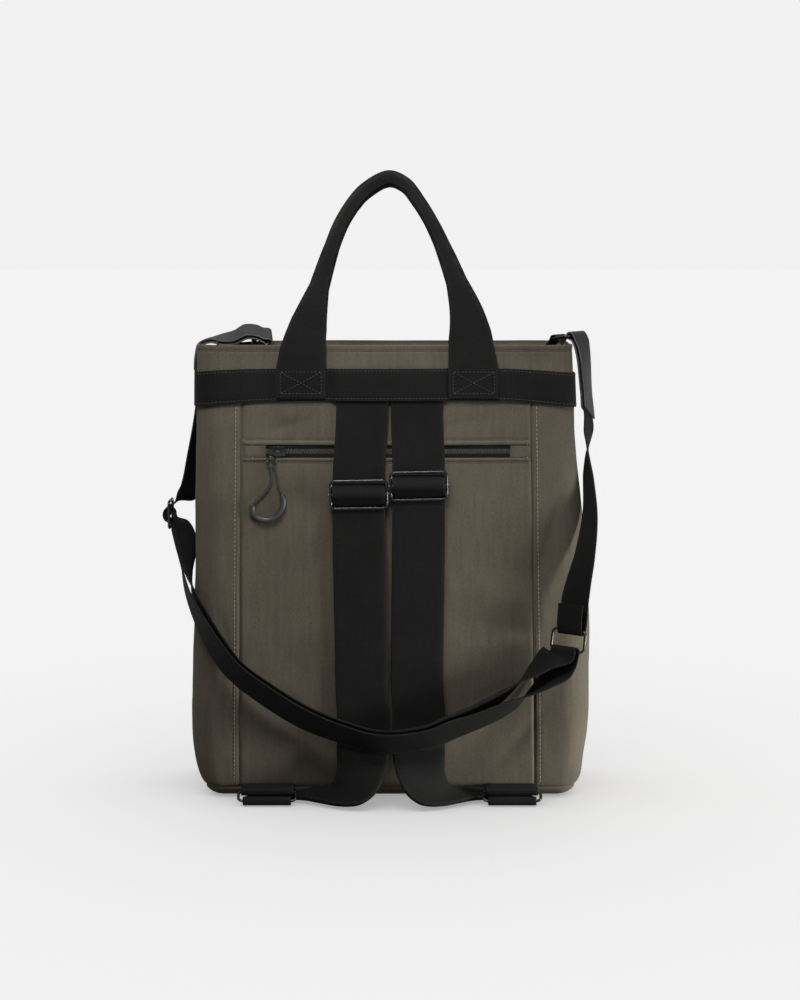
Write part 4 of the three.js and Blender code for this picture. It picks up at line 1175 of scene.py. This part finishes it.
def makeBackpackHardware(side, anchorX):
    name = side["name"].title()
    half = sliderFrame["long"] / 2
    x, z = side["sliderX"], side["sliderZ"]
    centre = onFront(x, z, sliderProud)
    longWay = onFront(x + half, z) - onFront(x - half, z)
    longWay.z = side["tilt"] * longWay.length
    wireFrame("backpackSlider" + name, "backpack_slider_" + side["name"], centre, longWay, (0, 0, 1),
              sliderFrame["long"], sliderFrame["short"], (0,), sliderFrame["pin"])
    rise = Vector((0, anchor["topY"] - anchor["barY"], anchor["topZ"] - anchor["barZ"]))
    middle = (anchorX, (anchor["topY"] + anchor["barY"]) / 2, (anchor["topZ"] + anchor["barZ"]) / 2)
    wireFrame("anchorRing" + name, "anchor_ring_" + side["name"], middle, (1, 0, 0), rise,
              anchor["long"], rise.length + wire["thick"])

    def leg(y, lift):
        return station((anchorX, y, anchor["topZ"] + lift), (1, 0, 0), strap["width"], strap["thick"])

    turned = halfTurn((anchorX, anchor["topY"], anchor["topZ"]), (1, 0, 0), (0, -1, 0),
                      turnRadius(strap["thick"]), strap["width"], strap["thick"], -1)
    lower = [leg(y, lift) for y, lift in zip(anchorLegs["ends"], anchorLegs["lower"])]
    upper = [leg(y, lift) for y, lift in zip(anchorLegs["ends"], anchorLegs["upper"])]
    tab = lower + turned + upper[::-1]
    strip("anchorTab" + name, tab, webbing, "webbing", ["anchor_tab_" + side["name"]], spacing=2)


for strapSide in strapSides:
    makeBackpackHardware(strapSide, makeBackpackStrap(strapSide))
print("backpack straps made")

# Shoulder strap: its centre line, and roll, the degrees it is turned up from lying edge-on
shoulderOuter = table(
    "x y z roll",
    [
        (-202.0, -7, 245, 0),
        (-199.0, -14, 235, 0),
        (-194.8, -26, 222, 3),
        (-190.8, -38, 208, 8),
        (-184.6, -54, 190, 16),
        (-172.5, -69, 167, 28),
        (-158.5, -77, 144, 38),
        (-143, -81, 124, 43),
        (-116, -84, 103, 46),
        (-76, -88, 79, 47),
        (-41, -93, 66.5, 44),
        (-8.6, -95, 58.5, 46),
        (36, -95, 63, 46),
        (57, -92, 71, 45),
        (78, -88, 77.5, 40),
        (99, -85, 86, 36),
        (113, -83, 93, 28),
        (126, -82, 102, 5),
        (143, -83, 115.5, -22),
        (157, -82.5, 127.5, -42),
    ],
)
shoulderInner = table(
    "x y z roll",
    [
        (-195, -7, 247, -22),
        (-190, -14, 236, -32),
        (-187, -26, 222, -26),
        (-184.6, -40, 207, -6),
        (-179.2, -54, 191.5, 14),
        (-169.2, -68, 170, 30),
        (-155.7, -75.6, 146.6, 38.5),
        (-140.9, -79.4, 126.3, 43),
        (-114.4, -82.4, 105.8, 46),
        (-75, -86.4, 82.2, 47),
        (-40.4, -91.4, 70.1, 44),
        (-8.4, -93.3, 62.2, 46),
        (35.6, -93, 67.4, 45),
        (56, -90, 76.6, 43),
        (76.5, -86, 85.4, 38),
        (98, -83, 98, 30),
        (115.5, -81.5, 111, 14),
        (133, -81.5, 126, -16),
        (145, -82.5, 136, -36),
    ],
)
ringBar = Vector((0.77, -0.64, 0))
shoulderRing = {
    "centre": Vector((161.6, -84, 151.6)),
    "up": Vector((0.3, 0, 0.95)),
    "half": 9.4,
    "long": 38.6,
}
shoulderSlider = {"centre": Vector((-204.6, -6, 258)), "half": 12.2, "long": 36}
# The long strap at the slider, from the slider's centre: the end sewn round the middle bar, and the run that
# passes through
sewnEnd = table("x z", [(-2.5, -1.9), (-3.1, 0), (-2.2, 2.2), (0, 3.1), (2.2, 2.2), (3.1, 0), (3.9, -5)])
passing = table(
    "x z",
    [(2.7, -10), (1.4, -7.6), (-3, -5.6), (-5.2, -2), (-5.2, 2), (-3, 5.6), (1.4, 7.6), (4.5, 10.5)],
)
# Centres of the run above the slider, then x and z of its way across as y is -1
aboveSlider = [(-190, 3, 275, -0.5, 0.5), (-187, 8, 288, -0.42, 0.35), (-184.6, 12, 309, -0.32, 0.15),
               (-182.4, 20, 331, -0.22, 0), (-181.4, 31, 352, -0.1, 0), (-181.8, 38.5, 369, 0, 0)]
leadIn = {"at": (154.2, -85.4, 137.6), "across": (0.72, -0.66, -0.2)}
leatherEnd = 1  # the webbing stops this many rows before the leather's turn
leafColumns = "x y z ax ay az skew"
leafRows = {
    "right": table(
        leafColumns,
        [
            (183.8, -10.4, 352, -0.3, -0.95, 0, 0.42),
            (181.8, -6, 376, -0.3, -0.95, 0, 0),
            (180.2, -2.6, 400, -0.35, -0.93, 0, 0),
            (178.6, -0.8, 412, -0.4, -0.91, 0, 0),
            (176.4, 0, 419.6, -0.47, -0.88, 0, 0),
        ],
    ),
    "left": table(
        leafColumns,
        [
            (-182.8, 43, 386, 0, -1, 0, 0.35),
            (-182, 45, 402, 0, -1, 0, 0),
            (-179, 44.5, 413.4, 0, -1, 0, 0),
            (-170, 41, 417.4, 0, -1, 0, 0),
            (-158, 37, 418.4, 0, -1, -0.2, 0),
            (-146, 33, 420.4, 0.05, -1, -0.3, 0),
            (-136, 30.5, 425.6, 0.1, -1, -0.32, 0),
            (-125.5, 29.5, 425.2, 0.1, -1, -0.32, 0),
            (-119.5, 29, 422.6, 0.1, -1, -0.32, 0),
        ],
    ),
}


def shoulderStation(at, across, width=shoulder["width"]):
    return station(at, across, width, shoulder["thick"])


def webbingRow(row):
    return shoulderStation((row["x"], row["y"], row["z"]), (row["ax"], row["ay"], row["az"]))


def rolled(rows):
    path = SmoothPath([Vector((r["x"], r["y"], r["z"])) for r in rows])
    made = []
    for i, row in enumerate(rows):
        tangent = path.tangent(i / (len(rows) - 1))
        inward = Vector((tangent.x, 0, tangent.z)).normalized().cross(Vector((0, 1, 0)))
        a = math.radians(row["roll"])
        across = Vector((0, -math.cos(a), 0)) + inward * math.sin(a)
        made.append(shoulderStation((row["x"], row["y"], row["z"]), across))
    return made


def shoulderLong():
    centre = shoulderSlider["centre"]

    def inSlider(row):
        return shoulderStation((centre.x + row["x"], centre.y, centre.z + row["z"]), (0, -1, 0))

    lower = shoulderRing["centre"] - shoulderRing["up"] * shoulderRing["half"]
    loop = halfTurn(lower, ringBar, (0, 0, 1), turnRadius(shoulder["thick"]), shoulder["gathered"],
                    shoulder["thick"], -1)
    stations = [inSlider(row) for row in sewnEnd] + rolled(shoulderInner)
    stations += [shoulderStation(leadIn["at"], leadIn["across"])] + loop + rolled(shoulderOuter)[::-1]
    stations += [inSlider(row) for row in passing]
    stations += [shoulderStation(at[:3], (at[3], -1, at[4])) for at in aboveSlider]
    stations += [webbingRow(row) for row in leafRows["left"][:-leatherEnd]]
    strip("shoulderStrapLong", stations, webbing, "webbing", ["shoulder_strap_long"], spacing=4)


shortRows = table(
    "x y z ax ay az",
    [
        (184.3, -13.6, 338, -0.36, -0.93, 0),
        (183.6, -18.5, 326, -0.2, -0.98, 0),
        (182.6, -24, 314, 0, -1, 0),
        (182.4, -37, 296, 0.22, -0.97, 0),
        (182, -62.5, 263, 0.36, -0.93, 0),
        (176.4, -78, 229, 0.52, -0.85, 0),
        (170.8, -81, 205, 0.68, -0.73, 0),
        (167.6, -81, 187, 0.77, -0.64, 0),
        (166.9, -81.2, 174, 0.77, -0.64, 0),
    ],
)
shortTail = [(162.3, -86.8, 170), (163.4, -86, 185)]


def shoulderShort():
    upper = shoulderRing["centre"] + shoulderRing["up"] * shoulderRing["half"]
    loop = halfTurn(upper, ringBar, (0, 0, -1), turnRadius(shoulder["thick"]), shoulder["gathered"],
                    shoulder["thick"], -1)
    tail = [shoulderStation(at, ringBar, shoulder["gathered"]) for at in shortTail]
    rows = leafRows["right"][:3][::-1] + shortRows
    strip("shoulderStrapShort", [webbingRow(row) for row in rows] + loop + tail, webbing, "webbing",
          ["shoulder_strap_short"], spacing=3)


shoulderLong()
shoulderShort()
wireFrame("shoulderRing", "shoulder_ring", shoulderRing["centre"], ringBar, shoulderRing["up"],
          shoulderRing["long"], 2 * shoulderRing["half"] + wire["thick"])
wireFrame("shoulderSlider", "shoulder_slider", shoulderSlider["centre"], (0, -1, 0), (0, 0, 1),
          shoulderSlider["long"], 2 * shoulderSlider["half"] + wire["thick"], (0,))
print("shoulder strap made")

# Leather tabs and top rings
topRing = {"span": 16.5, "long": 39.4}
leatherTab = {"width": 30.6, "ply": 1.75, "thick": 1.6}
ringTabWidth = 25
tabSides = [
    {
        "name": "right", "bar": (172.9, 0, 423.6), "along": (-0.47, -0.88, 0),
        "reach": (-0.88, 0.47, -0.19), "slide": 3.4, "wallTurn": (0, 0, 1),
        "rise": [(162.2, 1, 384), (162.2, 1, 404), (161, 1, 413)],
        "fall": [(150, 4, 415), (142, 4.5, 411), (134, 4, 408.6)],
    },
    {
        "name": "left", "bar": (-114.5, 29, 420.9), "along": (0.1, -1, -0.32), "reach": (-0.85, 0, -0.5),
        "slide": 0, "wallTurn": (1, 0, 0.3),
        "rise": [(-171.6, 14, 384), (-171.2, 15, 398), (-164, 19, 405), (-148, 26, 408)],
        "fall": [],
    },
]


def leafStations(rows):
    path = SmoothPath([Vector((r["x"], r["y"], r["z"])) for r in rows])
    made = []
    for i, r in enumerate(rows):
        across = Vector((r["ax"], r["ay"], r["az"])) + path.tangent(i / (len(rows) - 1)) * r["skew"]
        width = leatherTab["width"] * math.hypot(1, r["skew"])
        made.append(station((r["x"], r["y"], r["z"]), across, width, leatherTab["thick"]))
    return made


def makeTopTab(side):
    name = side["name"].title()
    leaf = leafStations(leafRows[side["name"]])
    bar = Vector(side["bar"])
    away = bar - leaf[-1]["at"]
    turn = halfTurn(bar, side["along"], away, turnRadius(leatherTab["thick"]), leatherTab["width"],
                    leatherTab["thick"])
    leaves = shifted(leaf, leatherTab["ply"]) + turn + shifted(leaf, -leatherTab["ply"])[::-1]
    strip("leatherTab" + name, leaves, [leather, leatherEdge], "leather", ["leather_tab_" + side["name"]],
          spacing=2, flats=8, arcs=3, roundness=0.25)
    along = Vector(side["along"]).normalized()
    reach = Vector(side["reach"])
    across = (reach - along * reach.dot(along)).normalized() * topRing["span"]
    inner = bar + across
    wireFrame("topRing" + name, "top_ring_" + side["name"], (inner + bar) / 2, along, across,
              topRing["long"], topRing["span"] + wire["thick"])
    seat = inner + along * side["slide"]
    turned = halfTurn(seat, along, side["wallTurn"], turnRadius(shoulder["thick"]), ringTabWidth,
                      shoulder["thick"])
    stations = [station(at, (0, -1, 0), ringTabWidth, shoulder["thick"]) for at in side["rise"]] + turned
    stations += [station(at, along, ringTabWidth, shoulder["thick"]) for at in side["fall"]]
    strip("ringTab" + name, stations, webbing, "webbing", ["ring_tab_" + side["name"]], spacing=2)


for tabSide in tabSides:
    makeTopTab(tabSide)
print("leather tabs made")

# Pocket zip
zipLook = {"back": -1.8, "tab": -0.2, "tape": -0.9, "teethHalf": 1.9, "pitch": 2.6, "gap": 0.3,
           "tooth": (1.15, 1.9, 2.5), "toothSink": -0.75, "toothRow": 0.75, "toothBevel": 0.3}
zipMid = (pocket["low"] + pocket["high"]) / 2
zipSlider = {
    "x": -101,
    "proud": 0.8,
    "thick": 1.8,
    "bevel": 0.35,
    "outline": [(-7.5, -3.0), (-6.4, -4.0), (-2, -4.7), (6.5, -4.3), (7.5, -2.4), (7.5, 2.4), (6.5, 4.3),
                (-2, 4.7), (-6.4, 4.0), (-7.5, 3.0)],
    "bridge": {"half": 3.4, "sink": 0.4, "rise": 1.6, "radius": 0.75},
}
zipRing = {"x": -107, "z": zipMid - 8.6, "proud": 3.2, "radius": 3.9, "wire": 0.9}


def facePiece(name, node, x0, x1, z0, z1, proud, thick, material, weaveAcross):
    xs = steps(x0, x1, max(2, round((x1 - x0) / 3)))
    zs = steps(z0, z1, 4)
    spread = (lambda x, z: (z, x)) if weaveAcross else (lambda x, z: (x, z))
    bm, _ = bentGrid(xs, zs, lambda x, z: onFront(x, z, proud, True), spread, lambda x, z: 9)
    solidify(finished(name, bm, material, [node]), thick, -1, 0.2)


def bevelledBox(bm, centre, size, bevel):
    made = bmesh.ops.create_cube(bm, size=1)["verts"]
    for vert in made:
        sized = Vector((vert.co.x * size[0], vert.co.y * size[1], vert.co.z * size[2]))
        vert.co = sized * mm + Vector(centre) * mm
    edges = list({e for v in made for e in v.link_edges})
    bmesh.ops.bevel(bm, geom=edges, offset=bevel * mm, segments=1, profile=0.5, affect="EDGES", material=-1)


def makeZip():
    low, high, gap = pocket["low"], pocket["high"], zipLook["gap"]
    half = zipLook["teethHalf"]
    tabThick = zipLook["tab"] - zipLook["back"]
    tabs = (("left", pocket["left"], pocket["tapeLeft"]), ("right", pocket["tapeRight"], pocket["right"]))
    for side, x0, x1 in tabs:
        facePiece("zipEndTab" + side.title(), "zip_end_tab_" + side, x0 + gap, x1 - gap,
                  low + gap, high - gap, zipLook["tab"], tabThick, twill, False)
    tapeThick = zipLook["tape"] - zipLook["back"]
    tapes = (("lower", low + gap, zipMid - half - gap), ("upper", zipMid + half + gap, high - gap))
    for side, z0, z1 in tapes:
        facePiece("zipTape" + side.title(), "zip_tape_" + side, pocket["tapeLeft"], pocket["tapeRight"],
                  z0, z1, zipLook["tape"], tapeThick, webbing, True)
    bm = bmesh.new()
    count = int((pocket["tapeRight"] - pocket["tapeLeft"] - 2) / zipLook["pitch"])
    for i in range(count):
        for row in (-1, 1):
            x = pocket["tapeLeft"] + 1.5 + (i + (0.25 if row > 0 else 0.75)) * zipLook["pitch"]
            at = onFront(x, zipMid, zipLook["toothSink"], True)
            at.z = zipMid + row * zipLook["toothRow"]
            bevelledBox(bm, at, zipLook["tooth"], zipLook["toothBevel"])
    finished("zipTeeth", bm, zipPlastic, ["zip_teeth"], 30)
    makeZipSlider()


def makeZipSlider():
    centre = onFront(zipSlider["x"], zipMid, zipSlider["proud"])
    bm = bmesh.new()
    corners = [bm.verts.new((centre + Vector((x, 0, z))) * mm) for x, z in zipSlider["outline"]]
    plate = bmesh.ops.contextual_create(bm, geom=corners)["faces"]
    raised = bmesh.ops.extrude_face_region(bm, geom=plate)["geom"]
    lifted = [g for g in raised if isinstance(g, bmesh.types.BMVert)]
    bmesh.ops.translate(bm, verts=lifted, vec=(0, -zipSlider["thick"] * mm, 0))
    bmesh.ops.recalc_face_normals(bm, faces=bm.faces)
    bmesh.ops.bevel(bm, geom=list(bm.edges), offset=zipSlider["bevel"] * mm, segments=2, profile=0.5,
                    affect="EDGES", material=-1)
    # an arched bridge holds the ring
    shape = zipSlider["bridge"]
    foot = -zipSlider["thick"] + shape["sink"]
    arch = [centre + Vector((shape["half"] * math.cos(a), foot - shape["rise"] * math.sin(a), 0))
            for a in steps(0, math.pi, 10)]
    bridge = tubeMesh(arch, shape["radius"], Vector((0, 0, 1)), False, 10)
    finished("zipSlider", joined([bm, bridge]), gunmetal, ["zip_slider"], 40)
    middle = onFront(zipRing["x"], zipRing["z"], zipRing["proud"])
    angles = steps(0, 2 * math.pi, 32)[:-1]
    loop = [middle + Vector((math.cos(a), 0, math.sin(a))) * zipRing["radius"] for a in angles]
    ring = tubeMesh(loop, zipRing["wire"], Vector((0, 1, 0)), True, 12)
    finished("zipRing", ring, gunmetal, ["zip_ring"], 60)


makeZip()
print("pocket zip made")

# Pull cord and its rubber grip: x, z and distance in front of the face, in metres
pullRoute = table(
    "x z proud",
    [
        (-0.1076, 0.3072, 0.0034),
        (-0.1074, 0.303, 0.0024),
        (-0.1072, 0.296, 0.0017),
        (-0.1096, 0.288, 0.0017),
        (-0.1155, 0.2815, 0.0021),
        (-0.121, 0.2766, 0.0025),
        (-0.1242, 0.2708, 0.0027),
        (-0.1236, 0.2656, 0.0028),
        (-0.1194, 0.2612, 0.0028),
        (-0.1118, 0.259, 0.0028),
        (-0.1044, 0.261, 0.0028),
        (-0.0988, 0.2668, 0.0027),
        (-0.0962, 0.2734, 0.0026),
        (-0.0964, 0.279, 0.0024),
        (-0.0984, 0.284, 0.002),
        (-0.1004, 0.29, 0.0017),
        (-0.1016, 0.297, 0.0017),
        (-0.1028, 0.303, 0.0024),
        (-0.104, 0.3076, 0.0034),
    ],
)
pull = {"radius": 1.1, "gripRadius": 2.6, "gripFrom": 0.335, "gripTo": 0.78, "pieces": 144}


def makePull():
    path = SmoothPath([onFront(p["x"] / mm, p["z"] / mm, p["proud"] / mm) for p in pullRoute])
    points = [path.point(t) for t in steps(0, 1, pull["pieces"])]
    runs = [0]
    for a, b in zip(points, points[1:]):
        runs.append(runs[-1] + (b - a).length)
    normal = Vector((0, 1, 0))
    cordTube = tubeMesh(points, pull["radius"], normal)
    cordPiece = finished("pullCord", cordTube, braid, ["pull_cord"], 80)
    held = [p for p, run in zip(points, runs) if pull["gripFrom"] <= run / runs[-1] <= pull["gripTo"]]
    tube = tubeMesh(held, pull["gripRadius"], normal, False, 16)
    bmesh.ops.bevel(tube, geom=[e for e in tube.edges if e.is_manifold and e.calc_face_angle() > 1],
                    offset=0.5 * mm, segments=3, profile=0.5, affect="EDGES", material=-1)
    gripPiece = finished("pullGrip", tube, rubber, ["pull_grip"], 60)


makePull()
print("pull made")


# Stitches: short raised threads laid along lines, each a few faces
def stitchMesh(bm, start, end, radius, out):
    middle = (start + end) / 2 + out * (radius * 0.5)
    direction = (end - start).normalized()
    side = direction.cross(out).normalized()
    half = (end - start).length / 2
    made = bmesh.ops.create_uvsphere(bm, u_segments=6, v_segments=4, radius=1)["verts"]
    for vert in made:
        x, y, z = vert.co
        vert.co = (middle + side * (x * radius) + out * (y * radius) + direction * (z * half)) * mm


def stitchRow(bm, place, start, end, pitch=None, length=None, radius=None, rowOut=None):
    pitch = pitch or topstitch["pitch"]
    share = (length or topstitch["length"]) / pitch
    radius = radius or topstitch["thread"]
    count = max(1, round(abs(end - start) / pitch))
    for i in range(count):
        a = lerp(start, end, (i + (1 - share) / 2) / count)
        b = lerp(start, end, (i + (1 + share) / 2) / count)
        first, second = place(a), place(b)
        if (second - first).length > 1e-3:
            stitchMesh(bm, first, second, radius, rowOut(a) if rowOut else Vector((0, -1, 0)))


def fabricStitches():
    bm = bmesh.new()
    side = bmesh.new()
    off, sunk = topstitch["fromSeam"], topstitch["sunk"]
    start, end = topstitch["from"], topstitch["to"]
    for seam, sense in ((seamRight, 1), (seamLeft, -1)):
        stitchRow(side, lambda z: clothPoint(turnAt(seam(z) + sense * off, z), z, sunk), start, end)
    for x in (-1, 1):
        across = x * (body["seamBack"] + off)
        stitchRow(bm, lambda z: clothPoint(turnAt(across, z, True), z, sunk), start, end,
                  rowOut=lambda z: Vector((0, 1, 0)))
    for z in (pocket["high"] + pocket["stitchAbove"], pocket["low"] - pocket["stitchBelow"]):
        stitchRow(bm, lambda x: clothPoint(turnAt(x, z), z, 0.1), pocket["left"] + 1, pocket["right"] - 1)
    for x in (pocket["tapeLeft"] - 1.5, pocket["tapeRight"] + 1.5):
        stitchRow(bm, lambda z: onFront(x, z, sunk, True), pocket["low"] + 0.5, pocket["high"] - 0.5)
    # the back, pocket and tape rows use the thread darkened as painted shade
    finished("fabricStitches", bm, threadPaintedShade)
    finished("sideStitches", side, paleThread)


def rimStitches():
    bm = bmesh.new()
    row = body["rim"] - topstitch["belowRim"]

    def place(run):
        point = clothPoint(turnOfRun(run), row, topstitch["sunk"])
        point.z -= dipAt(point, row)
        return point

    stitchRow(bm, place, 0, roundRun(8), rowOut=lambda run: outward(turnOfRun(run)))
    # the rim row uses the thread darkened as painted shade
    finished("rimStitches", bm, threadPaintedShade)


# Box with a cross on each end of the handles, and rows along the band's edges
boxStitch = {
    "middle": 383,
    "width": 37,
    "height": 19.5,
    "thread": {"pitch": 3.3, "length": 2.6, "radius": 0.5},
    "lines": [((-1, -1), (1, -1)), ((1, -1), (1, 1)), ((1, 1), (-1, 1)), ((-1, 1), (-1, -1)),
              ((-1, -1), (1, 1)), ((1, -1), (-1, 1))],
}


def handleBox(bm, middleX, side):
    onFace = onFront if side < 0 else onBack
    halfWidth, halfHeight = boxStitch["width"] / 2, boxStitch["height"] / 2
    proud = band["gap"] + band["thick"] + handleSewn["lift"] + handleSewn["over"] + 0.9
    for a, b in boxStitch["lines"]:
        length = math.hypot((b[0] - a[0]) * halfWidth, (b[1] - a[1]) * halfHeight)

        def place(d):
            u, v = lerp(a[0], b[0], d / length), lerp(a[1], b[1], d / length)
            return onFace(middleX + u * halfWidth, boxStitch["middle"] + v * halfHeight, proud)

        stitchRow(bm, place, 0, length, rowOut=lambda d: Vector((0, side, 0)), **boxStitch["thread"])


def webbingStitches():
    bm = bmesh.new()
    for _, _, side, spreadOut in handleSides:
        rows = handleStations(side, spreadOut)
        for s in (rows[0], rows[-1]):
            handleBox(bm, s["at"].x, side)
    for rise in band["stitchRises"]:
        stitchRow(bm, lambda run: bandPoint(turnOfRun(run), rise, band["thick"] - 0.2), 0, roundRun(8),
                  rowOut=lambda run: outward(turnOfRun(run)), **boxStitch["thread"])
    finished("webbingStitches", bm, blackThread)


fabricStitches()
rimStitches()
webbingStitches()
print("stitches made")

# Camera, floor and light
view = {"place": (0.0095, -2.0, 0.5), "pitch": 83.43, "sensor": 36, "lens": 77.4}
studio = {
    "floor": (0.9, 0.9, 0.9),
    "glow": 0.33,
    "reach": 60,
    "below": 0.05,
    "horizon": 0.22,
    "zenith": 0.85,
    "background": 0.885,
}
lamps = table(
    "name location target size power spread",
    [
        ("key", (-0.1, -0.55, 1.1), (0, 0, 0.45), (0.5, 0.3), 1.7, 60),
        ("side", (1.1, -0.38, 0.12), (0.17, -0.05, 0.06), (0.4, 0.3), 1.7, 40),
        ("glint", (-1.3, -1.0, 0.8), (-0.1, -0.05, 0.3), (0.12, 1.2), 0.2, 180),
    ],
)


def makeCamera():
    camera = bpy.data.objects.new("camera", bpy.data.cameras.new("camera"))
    camera.location = view["place"]
    camera.rotation_euler = (math.radians(view["pitch"]), 0, 0)
    camera.data.sensor_fit = "VERTICAL"
    camera.data.sensor_height = view["sensor"]
    camera.data.lens = view["lens"]
    bpy.context.scene.collection.objects.link(camera)
    bpy.context.scene.camera = camera


def makeStage():
    bm = bmesh.new()
    bmesh.ops.create_grid(bm, x_segments=1, y_segments=1, size=studio["reach"])
    bmesh.ops.translate(bm, verts=bm.verts, vec=(0, 0, -0.0003))
    mesh = bpy.data.meshes.new("floor")
    bm.to_mesh(mesh)
    bm.free()
    floor = bpy.data.objects.new("floor", mesh)
    floor.visible_diffuse = False
    bpy.context.scene.collection.objects.link(floor)
    material, _, _, shader = newMaterial("floor")
    shader.inputs["Base Color"].default_value = (*studio["floor"], 1)
    shader.inputs["Roughness"].default_value = 1
    shader.inputs["Specular IOR Level"].default_value = 0
    shader.inputs["Emission Color"].default_value = (1, 1, 1, 1)
    shader.inputs["Emission Strength"].default_value = studio["glow"]
    mesh.materials.append(material)


def makeLamp(row, lit):
    light = bpy.data.lights.new(row["name"], "AREA")
    light.shape = "RECTANGLE"
    light.size, light.size_y = row["size"]
    light.energy = row["power"]
    light.spread = math.radians(row["spread"])
    lamp = bpy.data.objects.new(row["name"], light)
    lamp.location = row["location"]
    lamp.rotation_euler = (Vector(row["target"]) - lamp.location).to_track_quat("-Z", "Y").to_euler()
    lamp.light_linking.receiver_collection = lit
    bpy.context.scene.collection.objects.link(lamp)


# The sky is bright overhead and dim low down; the camera sees an even background
def makeWorld():
    world = bpy.data.worlds.new("studio")
    world.use_nodes = True
    nodes, links = world.node_tree.nodes, world.node_tree.links
    split = nodes.new("ShaderNodeSeparateXYZ")
    links.new(addNode(nodes, "ShaderNodeTexCoord").outputs["Generated"], split.inputs[0])
    low, mid, high = ((studio[name],) * 3 for name in ("below", "horizon", "zenith"))
    height = addNode(nodes, "ShaderNodeMapRange")
    height.inputs["From Min"].default_value = -1
    links.new(split.outputs["Z"], height.inputs["Value"])
    sky = rampOf(nodes, links, height.outputs[0], [(0.47, low), (0.52, mid), (1.0, high)])
    seen = addNode(nodes, "ShaderNodeLightPath").outputs["Is Camera Ray"]
    shown = mixColors(nodes, links, "MIX", seen, sky, (studio["background"],) * 3)
    links.new(shown, nodes["Background"].inputs[0])
    bpy.context.scene.world = world


# The lamps light the bag only, so that the floor keeps its even tone
def makeLight():
    makeWorld()
    lit = bpy.data.collections.new("lit")
    for piece in bpy.context.scene.objects:
        if piece.type == "MESH" and piece.name != "floor":
            lit.objects.link(piece)
    for row in lamps:
        makeLamp(row, lit)
    bpy.context.scene.view_settings.view_transform = "Standard"


makeCamera()
makeStage()
makeLight()
print("camera, floor and light made")
